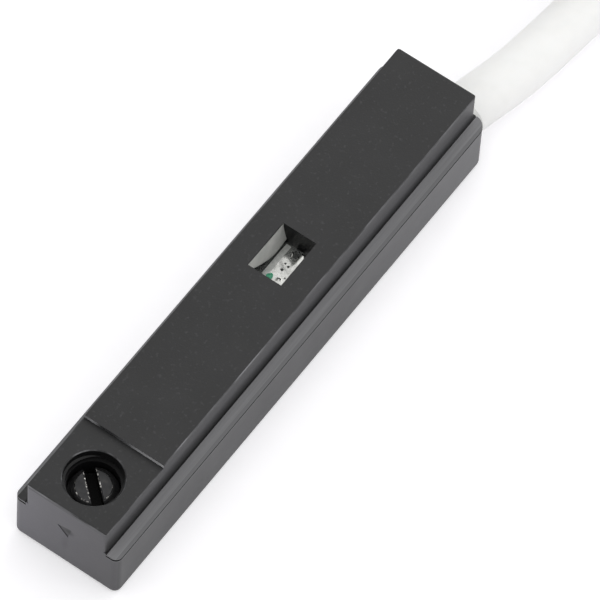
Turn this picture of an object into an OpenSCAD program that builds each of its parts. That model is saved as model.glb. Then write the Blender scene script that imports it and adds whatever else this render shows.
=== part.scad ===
// Reed cylinder sensor: a slim moulded body that slides into a T groove, is held there by a slotted set
// screw, shows a lamp through a window and is wired through a two-core lead. A glass reed contact is inside.
// Millimetres, +Z up. The body rests on its underside, the screw end is at -X and the lead leaves at +X.

/* [Body] */
// Length of the moulded body
body_l = 36; // [34:0.5:42]
// Width across the base
base_w = 7.15; // [7:0.05:8.4]
// Width of the raised land
land_w = 5.5; // [5.2:0.1:6]
// Height from the underside to the land
body_h = 6.2; // [6:0.1:6.6]
// Height of the shoulders where they meet the land
shoulder_h = 3.95; // [3.85:0.05:4.3]
// Fall of the shoulders towards their outer edges
shoulder_fall = 0.13; // [0.02:0.01:0.2]
// Width of the fine groove along the foot of the land
groove_w = 0.08; // [0.04:0.02:0.2]
// Depth of that groove
groove_depth = 0.08; // [0.04:0.02:0.2]
// Width of the parting line round the shoulders' outer edges
parting_w = 0.1; // [0.04:0.02:0.12]
// Depth of the parting line
parting_depth = 0.08; // [0.02:0.01:0.1]
// Radius of the base's upright corners at the screw end
nose_corner_r = 0.45; // [0.3:0.05:0.6]
// Radius of the base's upright corners at the lead
tail_corner_r = 0.7; // [0.4:0.05:0.8]
// Radius of the land's upright corners at the screw end
land_corner_r = 0.2; // [0.1:0.05:0.4]
// Radius of the land's upright corners at the lead
land_tail_r = 0.25; // [0.1:0.05:0.5]
// Setback of the land's end from the base's end at the lead
land_setback = 0.12; // [0.02:0.02:0.3]
// Radius along the bottom edges
bottom_edge_r = 0.4; // [0.2:0.05:0.6]
// Radius along the bottom edge at the lead
tail_low_r = 0.5; // [0.3:0.05:0.6]
// Radius along the land's long edges
land_edge_r = 0.1; // [0.06:0.02:0.2]
// Radius over the land's end edge at the screw
nose_edge_r = 0.1; // [0.05:0.05:0.4]
// Size of the three-cornered gate mark on the screw end
gate_size = 0.95; // [0.6:0.05:1.2]
// Depth of the gate mark
gate_depth = 0.03; // [0.02:0.01:0.1]
// Height of the gate mark
gate_z = 3.8; // [3:0.1:4.4]

/* [Set screw] */
// Distance from the screw end to the screw's axis
screw_from_end = 2.58; // [2.4:0.02:3]
// Length of the lowered pad around the screw
pad_l = 5.4; // [5:0.05:6]
// Drop of that pad below the land
pad_drop = 0.26; // [0.1:0.01:0.4]
// Thread diameter of the set screw
screw_d = 3; // [2.5:0.1:3.2]
// Length of the set screw
screw_l = 4; // [3:0.25:4.2]
// Depth of the screw's slotted face below the pad
screw_recess = 0.9; // [0.6:0.05:1.1]
// Diameter of the slotted face inside its chamfer
screw_face_d = 2.16; // [1.6:0.02:2.4]
// Width of the driver slot
slot_w = 0.7; // [0.4:0.05:0.8]
// Depth of the driver slot
slot_depth = 0.9; // [0.6:0.05:1.4]
// Direction of the slot when at rest, degrees from the long axis
slot_angle = 48; // [0:1:180]
// Clearance of the screw in its bore, on the radius
screw_clearance = 0.04; // [0.02:0.01:0.08]
// Diameter of the widened mouth of the bore, over its chamfer
screw_mouth_d = 3.66; // [3.5:0.02:4]
// Depth of the widened mouth
screw_mouth_depth = 0.8; // [0.5:0.05:1]
// Chamfer round the mouth
screw_mouth_chamfer = 0.07; // [0.03:0.01:0.12]

/* [Indicator window] */
// Distance from the screw end to the middle of the window
window_from_end = 20.55; // [20:0.05:22]
// Length of the window
window_l = 3.45; // [3.4:0.05:4]
// Width of the window
window_w = 2.3; // [1.8:0.1:2.8]
// Wall of the light well below the window
well_wall = 0.4; // [0.3:0.05:0.5]
// Height of the clear filling over the board
clear_fill_h = 0.85; // [0.78:0.01:1.1]
// Height that the filling climbs on the left wall
climb_h = 1.55; // [0.4:0.05:1.7]
// Width of that climb at its foot
climb_w = 0.36; // [0.2:0.02:0.5]

/* [Inner space] */
// Roof over the inner space
roof_t = 0.7; // [0.5:0.05:1]
// Side wall beside the land
land_wall = 0.55; // [0.45:0.05:0.7]
// Side wall beside the base
base_wall = 0.75; // [0.7:0.05:1]
// Distance from the screw end to the inner space
space_from_end = 6.2; // [6:0.1:6.6]
// Thickness of the end wall at the lead
end_wall = 1.4; // [1:0.1:2]
// Height of the step from the wide to the narrow part of the inner space
space_step_h = 3.45; // [3.4:0.05:3.5]
// Recess of the potting compound on the underside
potting_recess = 0.15; // [0.05:0.05:0.3]

/* [Circuit board] */
// Height of the board's underside
board_z = 2.9; // [2.85:0.05:2.95]
// Thickness of the board
board_t = 0.6; // [0.4:0.1:0.6]
// Width of the board
board_w = 4.2; // [4:0.05:4.25]
// Distance from the screw end to the board
board_from_end = 6.6; // [6.4:0.05:6.7]
// Distance between the board and the lead's sheath
board_gap = 1.5; // [1.2:0.1:1.8]
// Length of the lamp chip
lamp_l = 3; // [2.4:0.1:3.2]
// Width of the lamp chip
lamp_w = 1.5; // [1.2:0.05:1.6]
// Height of the lamp chip's base
lamp_base_h = 0.35; // [0.25:0.05:0.4]
// Height of the lamp chip's moulded lens
lamp_lens_h = 0.35; // [0.25:0.05:0.4]
// Length of the lamp chip's end metal
lamp_end_l = 0.5; // [0.3:0.05:0.6]

/* [Reed contact] */
// Distance from the screw end to the middle of the glass tube
reed_from_end = 12.3; // [12:0.1:12.5]
// Length of the glass tube
glass_l = 9.6; // [9:0.1:9.8]
// Outside diameter of the glass tube
glass_d = 1.8; // [1.7:0.05:1.85]
// Wall of the glass tube
glass_wall = 0.25; // [0.2:0.05:0.3]
// Length of each fused glass end
seal_l = 1.6; // [1.4:0.1:2]
// Diameter of the reed wires
reed_wire_d = 0.5; // [0.4:0.05:0.55]
// Width of the flattened blades
blade_w = 0.8; // [0.6:0.05:0.9]
// Thickness of the flattened blades
blade_t = 0.2; // [0.15:0.01:0.24]
// Gap between the open blades
blade_gap = 0.1; // [0.1:0.01:0.14]
// Overlap of the blades
blade_overlap = 0.8; // [0.5:0.1:1]

/* [Lead] */
// Outside diameter of the lead
cable_d = 3.2; // [2.8:0.05:3.2]
// Gap between the lead and the inner space's side wall
cable_gap = 0.05; // [0.03:0.01:0.3]
// Height of the lead's middle
cable_z = 2; // [1.95:0.05:2.2]
// Length of sheath inside the body
sheath_inside_l = 4; // [3:0.1:4.4]
// Diameter of each insulated core
core_d = 1.1; // [0.9:0.05:1.1]
// Distance between the middles of the cores
core_pitch = 1.2; // [1.15:0.05:1.3]
// Diameter of the bare strands
strand_d = 0.5; // [0.4:0.05:0.6]
// Length of bare strands under the board
strand_l = 1.4; // [1:0.1:1.6]

/* [Hank of the lead] */
// Straight run of the hank
hank_run = 54; // [50:0.5:60]
// Bend radius of the hank's folds
fold_r = 9.6; // [9.6:0.2:12]
// Turns laid on each other
hank_turns = 3; // [3:1:3]
// Distance from the body to the hank's straight runs
hank_from_body = 24.5; // [24:0.5:28]
// Sideways place of the run that the lead joins
hank_run_y = -4; // [-4.2:0.1:-3.8]
// Thickness of the ties
tie_t = 0.4; // [0.3:0.05:0.5]
// Width of the ties
tie_w = 5; // [3:0.5:8]
// Length of stripped and tinned ends
tip_l = 6; // [4:0.5:8]

/* [Hidden] */
eps = 0.01;
$fn = 48;
nose_x = -body_l/2;
tail_x = body_l/2;
land_end = tail_x - land_setback;
screw_x = nose_x + screw_from_end;
pad_z = body_h - pad_drop;
screw_top = pad_z - screw_recess;
window_x = nose_x + window_from_end;
space_x0 = nose_x + space_from_end;
space_x1 = tail_x - end_wall;
space_top = body_h - roof_t;
space_w_low = base_w - 2*base_wall;
space_w_high = land_w - 2*land_wall;
board_x0 = nose_x + board_from_end;
board_top = board_z + board_t;
board_l = body_l - board_from_end - sheath_inside_l - board_gap;
lamp_h = lamp_base_h + lamp_lens_h;
reed_x = nose_x + reed_from_end;
reed_z = board_z - glass_d/2 - 0.15;
glass_x0 = reed_x - glass_l/2;
glass_x1 = reed_x + glass_l/2;
seal_x0 = glass_x0 + seal_l;
seal_x1 = glass_x1 - seal_l;
wire_reach = 0.45;
wire_x0 = glass_x0 - wire_reach;
wire_x1 = glass_x1 + wire_reach;
wire_top = board_top + 0.25;
blade_l = (seal_x1 - seal_x0)/2 + blade_overlap/2;
sheath_x = tail_x - sheath_inside_l;
cable_y = -(space_w_low/2 - cable_d/2 - cable_gap);
core_z = board_z - core_d/2;
core_x = sheath_x - 2.7;
strand_x = core_x - strand_l;
core_y = [cable_y + core_pitch/2, cable_y - core_pitch/2];
diode_x = board_x0 + board_l - 1.9;
resistor_x = (window_x + window_l/2 + well_wall + diode_x - 1.2)/2;
hank_x = tail_x + hank_from_body;
hank_y = hank_run_y + fold_r;
hank_z = tie_t;
lay_z = hank_z + cable_d/2;
hank_h = hank_turns*cable_d;
hank_mid = hank_x + hank_run/2;
hank_end_z = hank_z + hank_h - cable_d/2;

// Route of the lead from the end wall to the hank
lead_route = [
    [tail_x, cable_y, cable_z],
    [tail_x + 2, cable_y - 0.45, cable_z],
    [tail_x + 5, cable_y - 1.15, (cable_z + lay_z)/2],
    [tail_x + 9.5, cable_y - 1.7, lay_z],
    [tail_x + 15, hank_run_y + 0.5, lay_z],
    [hank_x - 3, hank_run_y, lay_z],
    [hank_x + 2, hank_run_y, lay_z]
];
// Steps of a loose core: turn in degrees, run after the turn, spread sideways, height
loose_y = hank_y + fold_r/2;
loose_steps = [
    [0, 0, 0, hank_end_z],
    [35, 0, 0, hank_end_z],
    [70, 0, 0, hank_end_z - 0.3],
    [110, 0, 0, hank_end_z - 1.4],
    [150, 0, 0, hank_end_z - 3],
    [180, 0, 0, hank_end_z - 4.3],
    [180, 5, 0.4, 2],
    [180, 10, 0.9, core_d/2 + 0.25],
    [180, 17, 1.4, core_d/2]
];
// Routes of the two loose cores: over the fold, round into the hank and down to the ground
function loose_core(r, side) = [for (p = loose_steps)
    [hank_x - r*sin(p[0]) + p[1], loose_y + r*cos(p[0]) + side*p[2], p[3]]];
brown_route = loose_core(fold_r/2 + core_pitch/2, -1);
blue_route = loose_core(fold_r/2 - core_pitch/2, 1);

// Plain shapes shared by the pieces

// Rectangle with round corners, centred
module round_rect(l, w, r) {
    square([l - 2*r, w], center = true);
    square([l, w - 2*r], center = true);
    for (sx = [-1, 1], sy = [-1, 1])
        translate([sx*(l/2 - r), sy*(w/2 - r)])
            circle(r = r);
}

// Box given by its low corner and its sizes
module box(x, y, z, l, w, h) {
    translate([x, y, z])
        cube([l, w, h]);
}

// Round bar along X
module bar_x(x0, x1, y, z, d) {
    translate([x0, y, z])
        rotate([0, 90, 0])
            cylinder(h = x1 - x0, d = d);
}

// Tube along a route: a closed ring of points at each step, joined by four-sided faces
function unit(v) = v/norm(v);
function spline(p, i, t) =
    let (n = len(p) - 1,
        a = p[max(i - 1, 0)],
        b = p[i],
        c = p[min(i + 1, n)],
        d = p[min(i + 2, n)])
    0.5*((2*b) + (c - a)*t + (2*a - 5*b + 4*c - d)*t*t + (3*b - a - 3*c + d)*t*t*t);
function route_points(p, steps) = concat(
    [for (i = [0:len(p) - 2], k = [0:steps - 1]) spline(p, i, k/steps)],
    [p[len(p) - 1]]);
function heading(q, i) =
    i == 0 ? [1, 0, 0]*sign(q[1][0] - q[0][0]) : unit(q[min(i + 1, len(q) - 1)] - q[i - 1]);
module route_tube(p, d, steps) {
    q = route_points(p, steps);
    sides = 8;
    pts = [for (i = [0:len(q) - 1])
        let (t = heading(q, i), s = unit(cross(t, [0, 0, 1])), u = cross(s, t))
        for (k = [0:sides - 1])
            q[i] + s*(d/2*cos(360*k/sides)) + u*(d/2*sin(360*k/sides))];
    last = (len(q) - 1)*sides;
    faces = concat(
        [[for (k = [0:sides - 1]) k]],
        [for (i = [0:len(q) - 2], k = [0:sides - 1])
            let (a = i*sides + k, b = i*sides + (k + 1)%sides)
            [a, a + sides, b + sides, b]],
        [[for (k = [sides - 1:-1:0]) last + k]]);
    polyhedron(points = pts, faces = faces);
}

// Body

// Section across the body: land, shoulders, fine grooves and rounded base
module section() {
    land_half = land_w/2;
    base_half = base_w/2;
    outer_z = shoulder_h - shoulder_fall;
    difference() {
        union() {
            polygon([[-base_half, bottom_edge_r], [base_half, bottom_edge_r], [base_half, outer_z],
                [land_half, shoulder_h], [-land_half, shoulder_h], [-base_half, outer_z]]);
            translate([-base_half + bottom_edge_r, 0])
                square([base_w - 2*bottom_edge_r, outer_z]);
            for (s = [-1, 1])
                translate([s*(base_half - bottom_edge_r), bottom_edge_r])
                    circle(r = bottom_edge_r);
            translate([-land_half, shoulder_h - 2*groove_depth])
                square([land_w, body_h - land_edge_r - shoulder_h + 2*groove_depth]);
            translate([-land_half + land_edge_r, shoulder_h])
                square([land_w - 2*land_edge_r, body_h - shoulder_h]);
            for (s = [-1, 1])
                translate([s*(land_half - land_edge_r), body_h - land_edge_r])
                    circle(r = land_edge_r);
        }
        for (s = [-1, 1])
            translate([s*(land_half + groove_w/2), shoulder_h])
                square([groove_w, 2*groove_depth], center = true);
    }
}

// Outline of the body seen from the side: lowered pad, rounded nose and rounded lower ends
module side_outline() {
    r = bottom_edge_r;
    low = max(r, tail_low_r);
    translate([nose_x, r])
        square([nose_edge_r, pad_z - nose_edge_r - r]);
    translate([nose_x + nose_edge_r, pad_z - nose_edge_r])
        circle(r = nose_edge_r);
    translate([nose_x + nose_edge_r, r])
        square([pad_l, pad_z - r]);
    translate([nose_x + r, r])
        circle(r = r);
    translate([nose_x + r, 0])
        square([body_l - r - tail_low_r, low]);
    translate([tail_x - tail_low_r, tail_low_r])
        circle(r = tail_low_r);
    translate([nose_x + pad_l, r])
        square([body_l - pad_l - tail_low_r, shoulder_h - r]);
    translate([nose_x + pad_l, tail_low_r])
        square([body_l - pad_l, shoulder_h - tail_low_r]);
    translate([nose_x + pad_l, low])
        square([land_end - nose_x - pad_l, body_h - land_edge_r - low]);
    translate([nose_x + pad_l, low])
        square([land_end - land_edge_r - nose_x - pad_l, body_h - low]);
    translate([land_end - land_edge_r, body_h - land_edge_r])
        circle(r = land_edge_r);
}

// Plan from x0 to x1 without its corners, with one corner radius at each end
module plan_cross(x0, x1, w, r0, r1) {
    translate([x0 + r0, -w/2])
        square([x1 - x0 - r0 - r1, w]);
    translate([x0, -w/2 + r0])
        square([r0 + eps, w - 2*r0]);
    translate([x1 - r1 - eps, -w/2 + r1])
        square([r1 + eps, w - 2*r1]);
}

// Middles and radii of the four corners of such a plan
function plan_corners(x0, x1, w, r0, r1) = [for (s = [-1, 1], end = [0, 1])
    end == 0 ? [x0 + r0, s*(w/2 - r0), r0] : [x1 - r1, s*(w/2 - r1), r1]];

module plan(x0, x1, w, r0, r1) {
    plan_cross(x0, x1, w, r0, r1);
    for (c = plan_corners(x0, x1, w, r0, r1))
        translate([c[0], c[1]])
            circle(r = c[2]);
}

// Upright corner of the base with its lower edge rounded
module corner_post(r) {
    e = min(bottom_edge_r, r - eps);
    rotate_extrude() {
        square([r - e, shoulder_h]);
        translate([0, e])
            square([r, shoulder_h - e]);
        intersection() {
            translate([r - e, e])
                circle(r = e);
            square([r, e]);
        }
    }
}

module base_block() {
    translate([0, 0, -1])
        linear_extrude(height = shoulder_h + 1)
            plan_cross(nose_x, tail_x, base_w, nose_corner_r, tail_corner_r);
    for (c = plan_corners(nose_x, tail_x, base_w, nose_corner_r, tail_corner_r))
        translate([c[0], c[1], 0])
            corner_post(c[2]);
}

// Fine line where the tool parted, round the shoulders' outer edges
module parting_line() {
    d = parting_depth;
    translate([0, 0, shoulder_h - shoulder_fall - 1.5*parting_w])
        linear_extrude(height = parting_w)
            difference() {
                square([body_l + 2, base_w + 2], center = true);
                plan(nose_x + d, tail_x - d, base_w - 2*d, nose_corner_r - d, tail_corner_r - d);
                square([body_l + 4, land_w], center = true);
            }
}

module outer_form() {
    difference() {
        intersection() {
            translate([nose_x - 1, 0, 0])
                rotate([90, 0, 90])
                    linear_extrude(height = body_l + 2)
                        section();
            translate([0, base_w/2 + 1, 0])
                rotate([90, 0, 0])
                    linear_extrude(height = base_w + 2)
                        side_outline();
            union() {
                base_block();
                translate([0, 0, -1])
                    linear_extrude(height = body_h + 2)
                        plan(nose_x, land_end, land_w, land_corner_r, land_tail_r);
            }
        }
        parting_line();
    }
}

// Space for the works, open below: wide between the base's walls, narrow between the land's walls
module inner_space(low) {
    l = space_x1 - space_x0;
    box(space_x0, -space_w_low/2, low, l, space_w_low, space_step_h - low);
    box(space_x0, -space_w_high/2, low, l, space_w_high, space_top - low);
}

module well_outside() {
    l = window_l + 2*well_wall;
    w = window_w + 2*well_wall;
    box(window_x - l/2, -w/2, board_top, l, w, space_top - board_top + eps);
}

module window_hole(top) {
    box(window_x - window_l/2, -window_w/2, board_top, window_l, window_w, top - board_top);
}

module screw_bore() {
    mouth_d = screw_mouth_d - 2*screw_mouth_chamfer;
    translate([screw_x, 0, -1])
        cylinder(h = body_h + 2, d = screw_d + 2*screw_clearance);
    translate([screw_x, 0, pad_z - screw_mouth_depth])
        cylinder(h = screw_mouth_depth + 1, d = mouth_d);
    translate([screw_x, 0, pad_z - screw_mouth_chamfer])
        cylinder(h = screw_mouth_chamfer + eps, d1 = mouth_d, d2 = screw_mouth_d + 2*eps);
}

// Shallow three-cornered mark where the moulding was cut from its runner
module gate_mark() {
    translate([nose_x - 1, 0, gate_z])
        rotate([90, 0, 90])
            linear_extrude(height = 1 + gate_depth)
                polygon(gate_size*[[0.6, 0], [-0.42, 0.25], [-0.16, -0.8]]);
}

module housing() {
    color("#2b2b2d")
        difference() {
            outer_form();
            difference() {
                inner_space(-1);
                well_outside();
            }
            window_hole(body_h + 1);
            screw_bore();
            gate_mark();
            bar_x(space_x1 - eps, tail_x + 1, cable_y, cable_z, cable_d);
        }
}

// Slotted set screw with a chamfer at both ends
module set_screw() {
    r = screw_d/2;
    face_r = screw_face_d/2;
    lead_in = r - face_r;
    color("#1e1e20")
        translate([screw_x, 0, screw_top])
            difference() {
                rotate_extrude()
                    polygon([[0, -screw_l], [face_r, -screw_l], [r, -screw_l + lead_in], [r, -lead_in],
                        [face_r, 0], [0, 0]]);
                rotate([0, 0, slot_angle])
                    box(-screw_d, -slot_w/2, -slot_depth, 2*screw_d, slot_w, slot_depth + 1);
            }
}

// Clear filling in the light well, drawn up on the left wall
module clear_fill() {
    foot = board_top + clear_fill_h;
    color("#dfe9e4", 0.35)
        difference() {
            union() {
                window_hole(foot);
                translate([window_x - window_l/2, window_w/2, foot - eps])
                    rotate([90, 0, 90])
                        linear_extrude(height = window_l)
                            polygon([[0, 0], [0, climb_h + eps], [-0.04, climb_h + eps], [-climb_w, 0]]);
            }
            lamp_box();
        }
}

// Potting compound around the works
module potting() {
    color("#18181a")
        difference() {
            inner_space(potting_recess);
            well_outside();
            window_hole(space_top);
            box(board_x0, -board_w/2, board_z, board_l, board_w, board_t);
            glass_outside();
            wire_bends(reed_wire_d);
            solder_forms();
            resistor_box();
            diode_box();
            bar_x(sheath_x, tail_x + 1, cable_y, cable_z, cable_d);
            for (y = core_y) {
                bar_x(core_x, sheath_x + 1, y, core_z, core_d);
                bar_x(strand_x, core_x + eps, y, core_z, strand_d);
            }
        }
}

// Circuit board with its parts

module circuit_board() {
    color("#e4e6e2")
        difference() {
            box(board_x0, -board_w/2, board_z, board_l, board_w, board_t);
            for (x = [wire_x0, wire_x1])
                translate([x, 0, board_z - 1])
                    cylinder(h = board_t + 2, d = reed_wire_d);
        }
}

module lamp_box() {
    box(window_x - lamp_l/2, -lamp_w/2, board_top - eps, lamp_l, lamp_w, lamp_base_h + eps);
    box(window_x - lamp_l/2 + lamp_end_l, -lamp_w/2, board_top, lamp_l - 2*lamp_end_l, lamp_w, lamp_h);
}

module lamp_base() {
    color("#f0efe8")
        box(window_x - lamp_l/2 + lamp_end_l, -lamp_w/2, board_top, lamp_l - 2*lamp_end_l, lamp_w, lamp_base_h);
}

module lamp_lens() {
    color("#eceee6", 0.6)
        box(window_x - lamp_l/2 + lamp_end_l, -lamp_w/2, board_top + lamp_base_h, lamp_l - 2*lamp_end_l, lamp_w,
            lamp_lens_h);
}

module lamp_ends() {
    color("#d9d6cc") {
        box(window_x - lamp_l/2, -lamp_w/2, board_top, lamp_end_l, lamp_w, lamp_base_h);
        box(window_x + lamp_l/2 - lamp_end_l, -lamp_w/2, board_top, lamp_end_l, lamp_w, lamp_base_h);
    }
}

module resistor_box() {
    box(resistor_x - 0.8, -0.4, board_top - eps, 1.6, 0.8, 0.45 + eps);
}

module resistor_body() {
    color("#1d1d20")
        box(resistor_x - 0.5, -0.4, board_top, 1, 0.8, 0.45);
}

module resistor_ends() {
    color("#cfcfca") {
        box(resistor_x - 0.8, -0.4, board_top, 0.3, 0.8, 0.45);
        box(resistor_x + 0.5, -0.4, board_top, 0.3, 0.8, 0.45);
    }
}

module diode_box() {
    box(diode_x - 1.2, -0.15, board_top - eps, 2.4, 0.3, 0.15 + eps);
    box(diode_x - 0.85, -0.6, board_top - eps, 1.7, 1.2, 0.9 + eps);
}

module diode_body() {
    color("#26262a")
        box(diode_x - 0.85, -0.6, board_top, 1.7, 1.2, 0.9);
}

module diode_tabs() {
    color("#cfcfca") {
        box(diode_x - 1.2, -0.15, board_top, 0.35, 0.3, 0.15);
        box(diode_x + 0.85, -0.15, board_top, 0.35, 0.3, 0.15);
    }
}

// Reed contact: sealed glass tube, two wires and two overlapping blades

// Half outline of a tube with domed ends, for turning about its axis
module dome_half(l, r, dome) {
    intersection() {
        round_rect(2*r, l, dome);
        translate([0, -l])
            square([r + 1, 2*l]);
    }
}

module along_reed() {
    translate([reed_x, 0, reed_z])
        rotate([0, 90, 0])
            children();
}

module glass_outside() {
    along_reed()
        rotate_extrude()
            dome_half(glass_l, glass_d/2, 0.6);
}

module reed_glass() {
    inner_l = seal_x1 - seal_x0;
    color("#a8d0b8", 0.4)
        along_reed()
            rotate_extrude()
                difference() {
                    dome_half(glass_l, glass_d/2, 0.6);
                    translate([-1, -inner_l/2])
                        square([1 + glass_d/2 - glass_wall, inner_l]);
                    translate([-1, -glass_l])
                        square([1 + reed_wire_d/2, 2*glass_l]);
                }
}

// One wire from its glass seal to the bend, then up through the board
module wire_bend(x_seal, x_bend, d) {
    bar_x(min(x_seal, x_bend), max(x_seal, x_bend), 0, reed_z, d);
    translate([x_bend, 0, reed_z])
        sphere(d = d);
    translate([x_bend, 0, reed_z])
        cylinder(h = wire_top - reed_z, d = d);
}

module wire_bends(d) {
    wire_bend(glass_x0 + 1, wire_x0, d);
    wire_bend(glass_x1 - 1, wire_x1, d);
}

module reed_wire_front() {
    color("#b9b4a4")
        wire_bend(seal_x0, wire_x0, reed_wire_d);
}

module reed_wire_rear() {
    color("#b9b4a4")
        wire_bend(seal_x1, wire_x1, reed_wire_d);
}

module reed_blade_front() {
    color("#c9c3ae")
        box(seal_x0, -blade_w/2, reed_z + blade_gap/2, blade_l, blade_w, blade_t);
}

module reed_blade_rear() {
    color("#c9c3ae")
        box(seal_x1 - blade_l, -blade_w/2, reed_z - blade_gap/2 - blade_t, blade_l, blade_w, blade_t);
}

// Solder on the wires' ends and on the strands under the board
module solder_forms() {
    for (x = [wire_x0, wire_x1])
        translate([x, 0, board_top])
            cylinder(h = 0.2, d = 0.9);
    for (y = core_y)
        translate([strand_x + strand_l/2, y, core_z - 0.35])
            cylinder(h = board_z - core_z + 0.35, d = 1);
}

module solder() {
    color("#c8c9cc")
        difference() {
            solder_forms();
            wire_bends(reed_wire_d);
            for (y = core_y)
                bar_x(strand_x, core_x, y, core_z, strand_d);
        }
}

// Lead

module sheath_end() {
    color("#f2f2ef")
        difference() {
            bar_x(sheath_x, tail_x, cable_y, cable_z, cable_d);
            for (y = core_y)
                bar_x(sheath_x - 1, tail_x + 1, y, core_z, core_d);
        }
}

module core_brown() {
    color("#6b3d22")
        bar_x(core_x, tail_x, core_y[0], core_z, core_d);
}

module core_blue() {
    color("#1f4fa0")
        bar_x(core_x, tail_x, core_y[1], core_z, core_d);
}

module bare_strands() {
    color("#c98a5a")
        for (y = core_y)
            bar_x(strand_x, core_x, y, core_z, strand_d);
}

module cable_lead() {
    color("#f2f2ef")
        route_tube(lead_route, cable_d, 2);
}

// Outline of the hank: two straight runs with round folds
module hank_outline(r) {
    translate([hank_x, hank_y - r])
        square([hank_run, 2*r]);
    for (x = [hank_x, hank_x + hank_run])
        translate([x, hank_y])
            circle(r = r);
}

module cable_hank() {
    color("#f2f2ef")
        translate([0, 0, hank_z])
            linear_extrude(height = hank_h)
                difference() {
                    hank_outline(fold_r + cable_d/2);
                    hank_outline(fold_r - cable_d/2);
                }
}

// A tie round each run of the hank
module hank_ties() {
    color("#3a3a3c")
        for (s = [-1, 1])
            translate([hank_mid - tie_w/2, hank_y + s*fold_r, hank_z + hank_h/2])
                rotate([90, 0, 90])
                    linear_extrude(height = tie_w)
                        difference() {
                            round_rect(cable_d + 2*tie_t, hank_h + 2*tie_t, 0.6);
                            square([cable_d, hank_h], center = true);
                        }
}

module tail_brown() {
    color("#6b3d22")
        route_tube(brown_route, core_d, 2);
}

module tail_blue() {
    color("#1f4fa0")
        route_tube(blue_route, core_d, 2);
}

module tip(route) {
    translate(route[len(route) - 1])
        rotate([0, 90, 0])
            cylinder(h = tip_l, d = strand_d);
}

module tinned_tips() {
    color("#c8c9cc") {
        tip(brown_route);
        tip(blue_route);
    }
}

housing();
set_screw();
clear_fill();
potting();
circuit_board();
lamp_base();
lamp_lens();
lamp_ends();
resistor_body();
resistor_ends();
diode_body();
diode_tabs();
reed_glass();
reed_wire_front();
reed_wire_rear();
reed_blade_front();
reed_blade_rear();
solder();
sheath_end();
core_brown();
core_blue();
bare_strands();
cable_lead();
cable_hank();
hank_ties();
tail_brown();
tail_blue();
tinned_tips();
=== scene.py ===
"""Reed cylinder sensor: the looks of the moulded body, its set screw, lamp window and white lead.

Every length in the code is in metres, in the same frame as the solids: +X along the body towards the
lead, +Y to the left seen from the screw end, +Z up. Sizes that a user would change are in millimetres
in the property groups and are turned to metres where they are used.
"""

from math import cos, exp, pi, radians, sin

import bmesh
import bpy
from mathutils import Matrix, Vector


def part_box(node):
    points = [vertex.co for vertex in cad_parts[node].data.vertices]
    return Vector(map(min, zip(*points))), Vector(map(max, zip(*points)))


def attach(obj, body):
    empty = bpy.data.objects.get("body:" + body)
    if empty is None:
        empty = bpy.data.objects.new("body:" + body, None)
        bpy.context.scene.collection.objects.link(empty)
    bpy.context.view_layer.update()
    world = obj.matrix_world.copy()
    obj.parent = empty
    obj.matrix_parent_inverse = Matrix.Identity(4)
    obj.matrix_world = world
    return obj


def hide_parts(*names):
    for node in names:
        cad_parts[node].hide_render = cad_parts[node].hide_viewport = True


bl_info = {
    "name": "Reed cylinder sensor",
    "version": (1, 0, 0),
    "blender": (4, 5, 0),
    "location": "View3D > Sidebar > Sensor",
    "description": "Dresses the solids of a groove-mounted reed sensor with finishes and fine parts",
    "category": "Object",
}

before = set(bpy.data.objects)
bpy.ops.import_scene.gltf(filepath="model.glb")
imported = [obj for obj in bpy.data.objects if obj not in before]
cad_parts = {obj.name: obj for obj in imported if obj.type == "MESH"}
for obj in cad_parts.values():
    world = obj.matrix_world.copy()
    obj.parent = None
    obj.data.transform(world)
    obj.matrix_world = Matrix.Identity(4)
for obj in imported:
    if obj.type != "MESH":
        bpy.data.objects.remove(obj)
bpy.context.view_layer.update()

MM = 0.001
BODY = "sensor_body"
BODY_LOW, BODY_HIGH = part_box("housing")
SCREW_LOW, SCREW_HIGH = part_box("set_screw")
SCREW_X, SCREW_Y = (SCREW_LOW[0] + SCREW_HIGH[0])/2, (SCREW_LOW[1] + SCREW_HIGH[1])/2
FILL_LOW, FILL_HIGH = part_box("clear_fill")
LENS_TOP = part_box("lamp_lens")[1][2]
HANK_LOW, HANK_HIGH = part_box("cable_hank")
TIE_LOW, TIE_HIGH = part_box("hank_ties")
SHEATH_LOW, SHEATH_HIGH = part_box("sheath_end")
TIP_LOW, TIP_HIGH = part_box("tinned_tips")


def in_mm(length):
    """A length of the frame, in millimetres and rounded, for a property's default."""
    return round(length/MM, 3)


class HousingSettings(bpy.types.PropertyGroup):
    """The moulded body's finish."""

    colour: bpy.props.StringProperty(
        name="Colour", description="Colour of the moulded plastic, as sRGB hex", default="#141415")
    # Painted highlight: the right shoulder's top is drawn greyer, as if lit
    shoulder_highlight_colour: bpy.props.StringProperty(
        name="Shoulder colour", description="Rubbed, greyer plastic on top of the shoulders, as sRGB hex",
        default="#767678")
    # Painted light and shade: mid tone of the land wall, drawn lighter up top and darker down in the groove
    wall_shading_colour: bpy.props.StringProperty(
        name="Wall colour", description="Rubbed plastic on the land's side walls, as sRGB hex",
        default="#3e3e40")
    # Edge lines: partly rubbed plastic, partly painted highlight
    edge_wear_highlight_colour: bpy.props.StringProperty(
        name="Edge colour", description="Rubbed edges, as sRGB hex", default="#545456")
    land_w: bpy.props.FloatProperty(
        name="Land width", description="Width of the raised land, in mm", default=5.5, min=1)
    foot: bpy.props.FloatProperty(
        name="Land foot", description="Height of the shoulders at the land's foot, in mm", default=3.95, min=1)
    seam_drop: bpy.props.FloatProperty(
        name="Seam drop", description="Middle of the parting line below the land's foot, in mm",
        default=0.23, min=0)
    grain: bpy.props.FloatProperty(
        name="Grain", description="Width of the spark-eroded grain as drawn, in mm", default=0.11, min=0.02)
    roughness: bpy.props.FloatProperty(
        name="Roughness", description="Roughness of the moulded surface", default=0.46, min=0, max=1,
        subtype="FACTOR")


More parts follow.
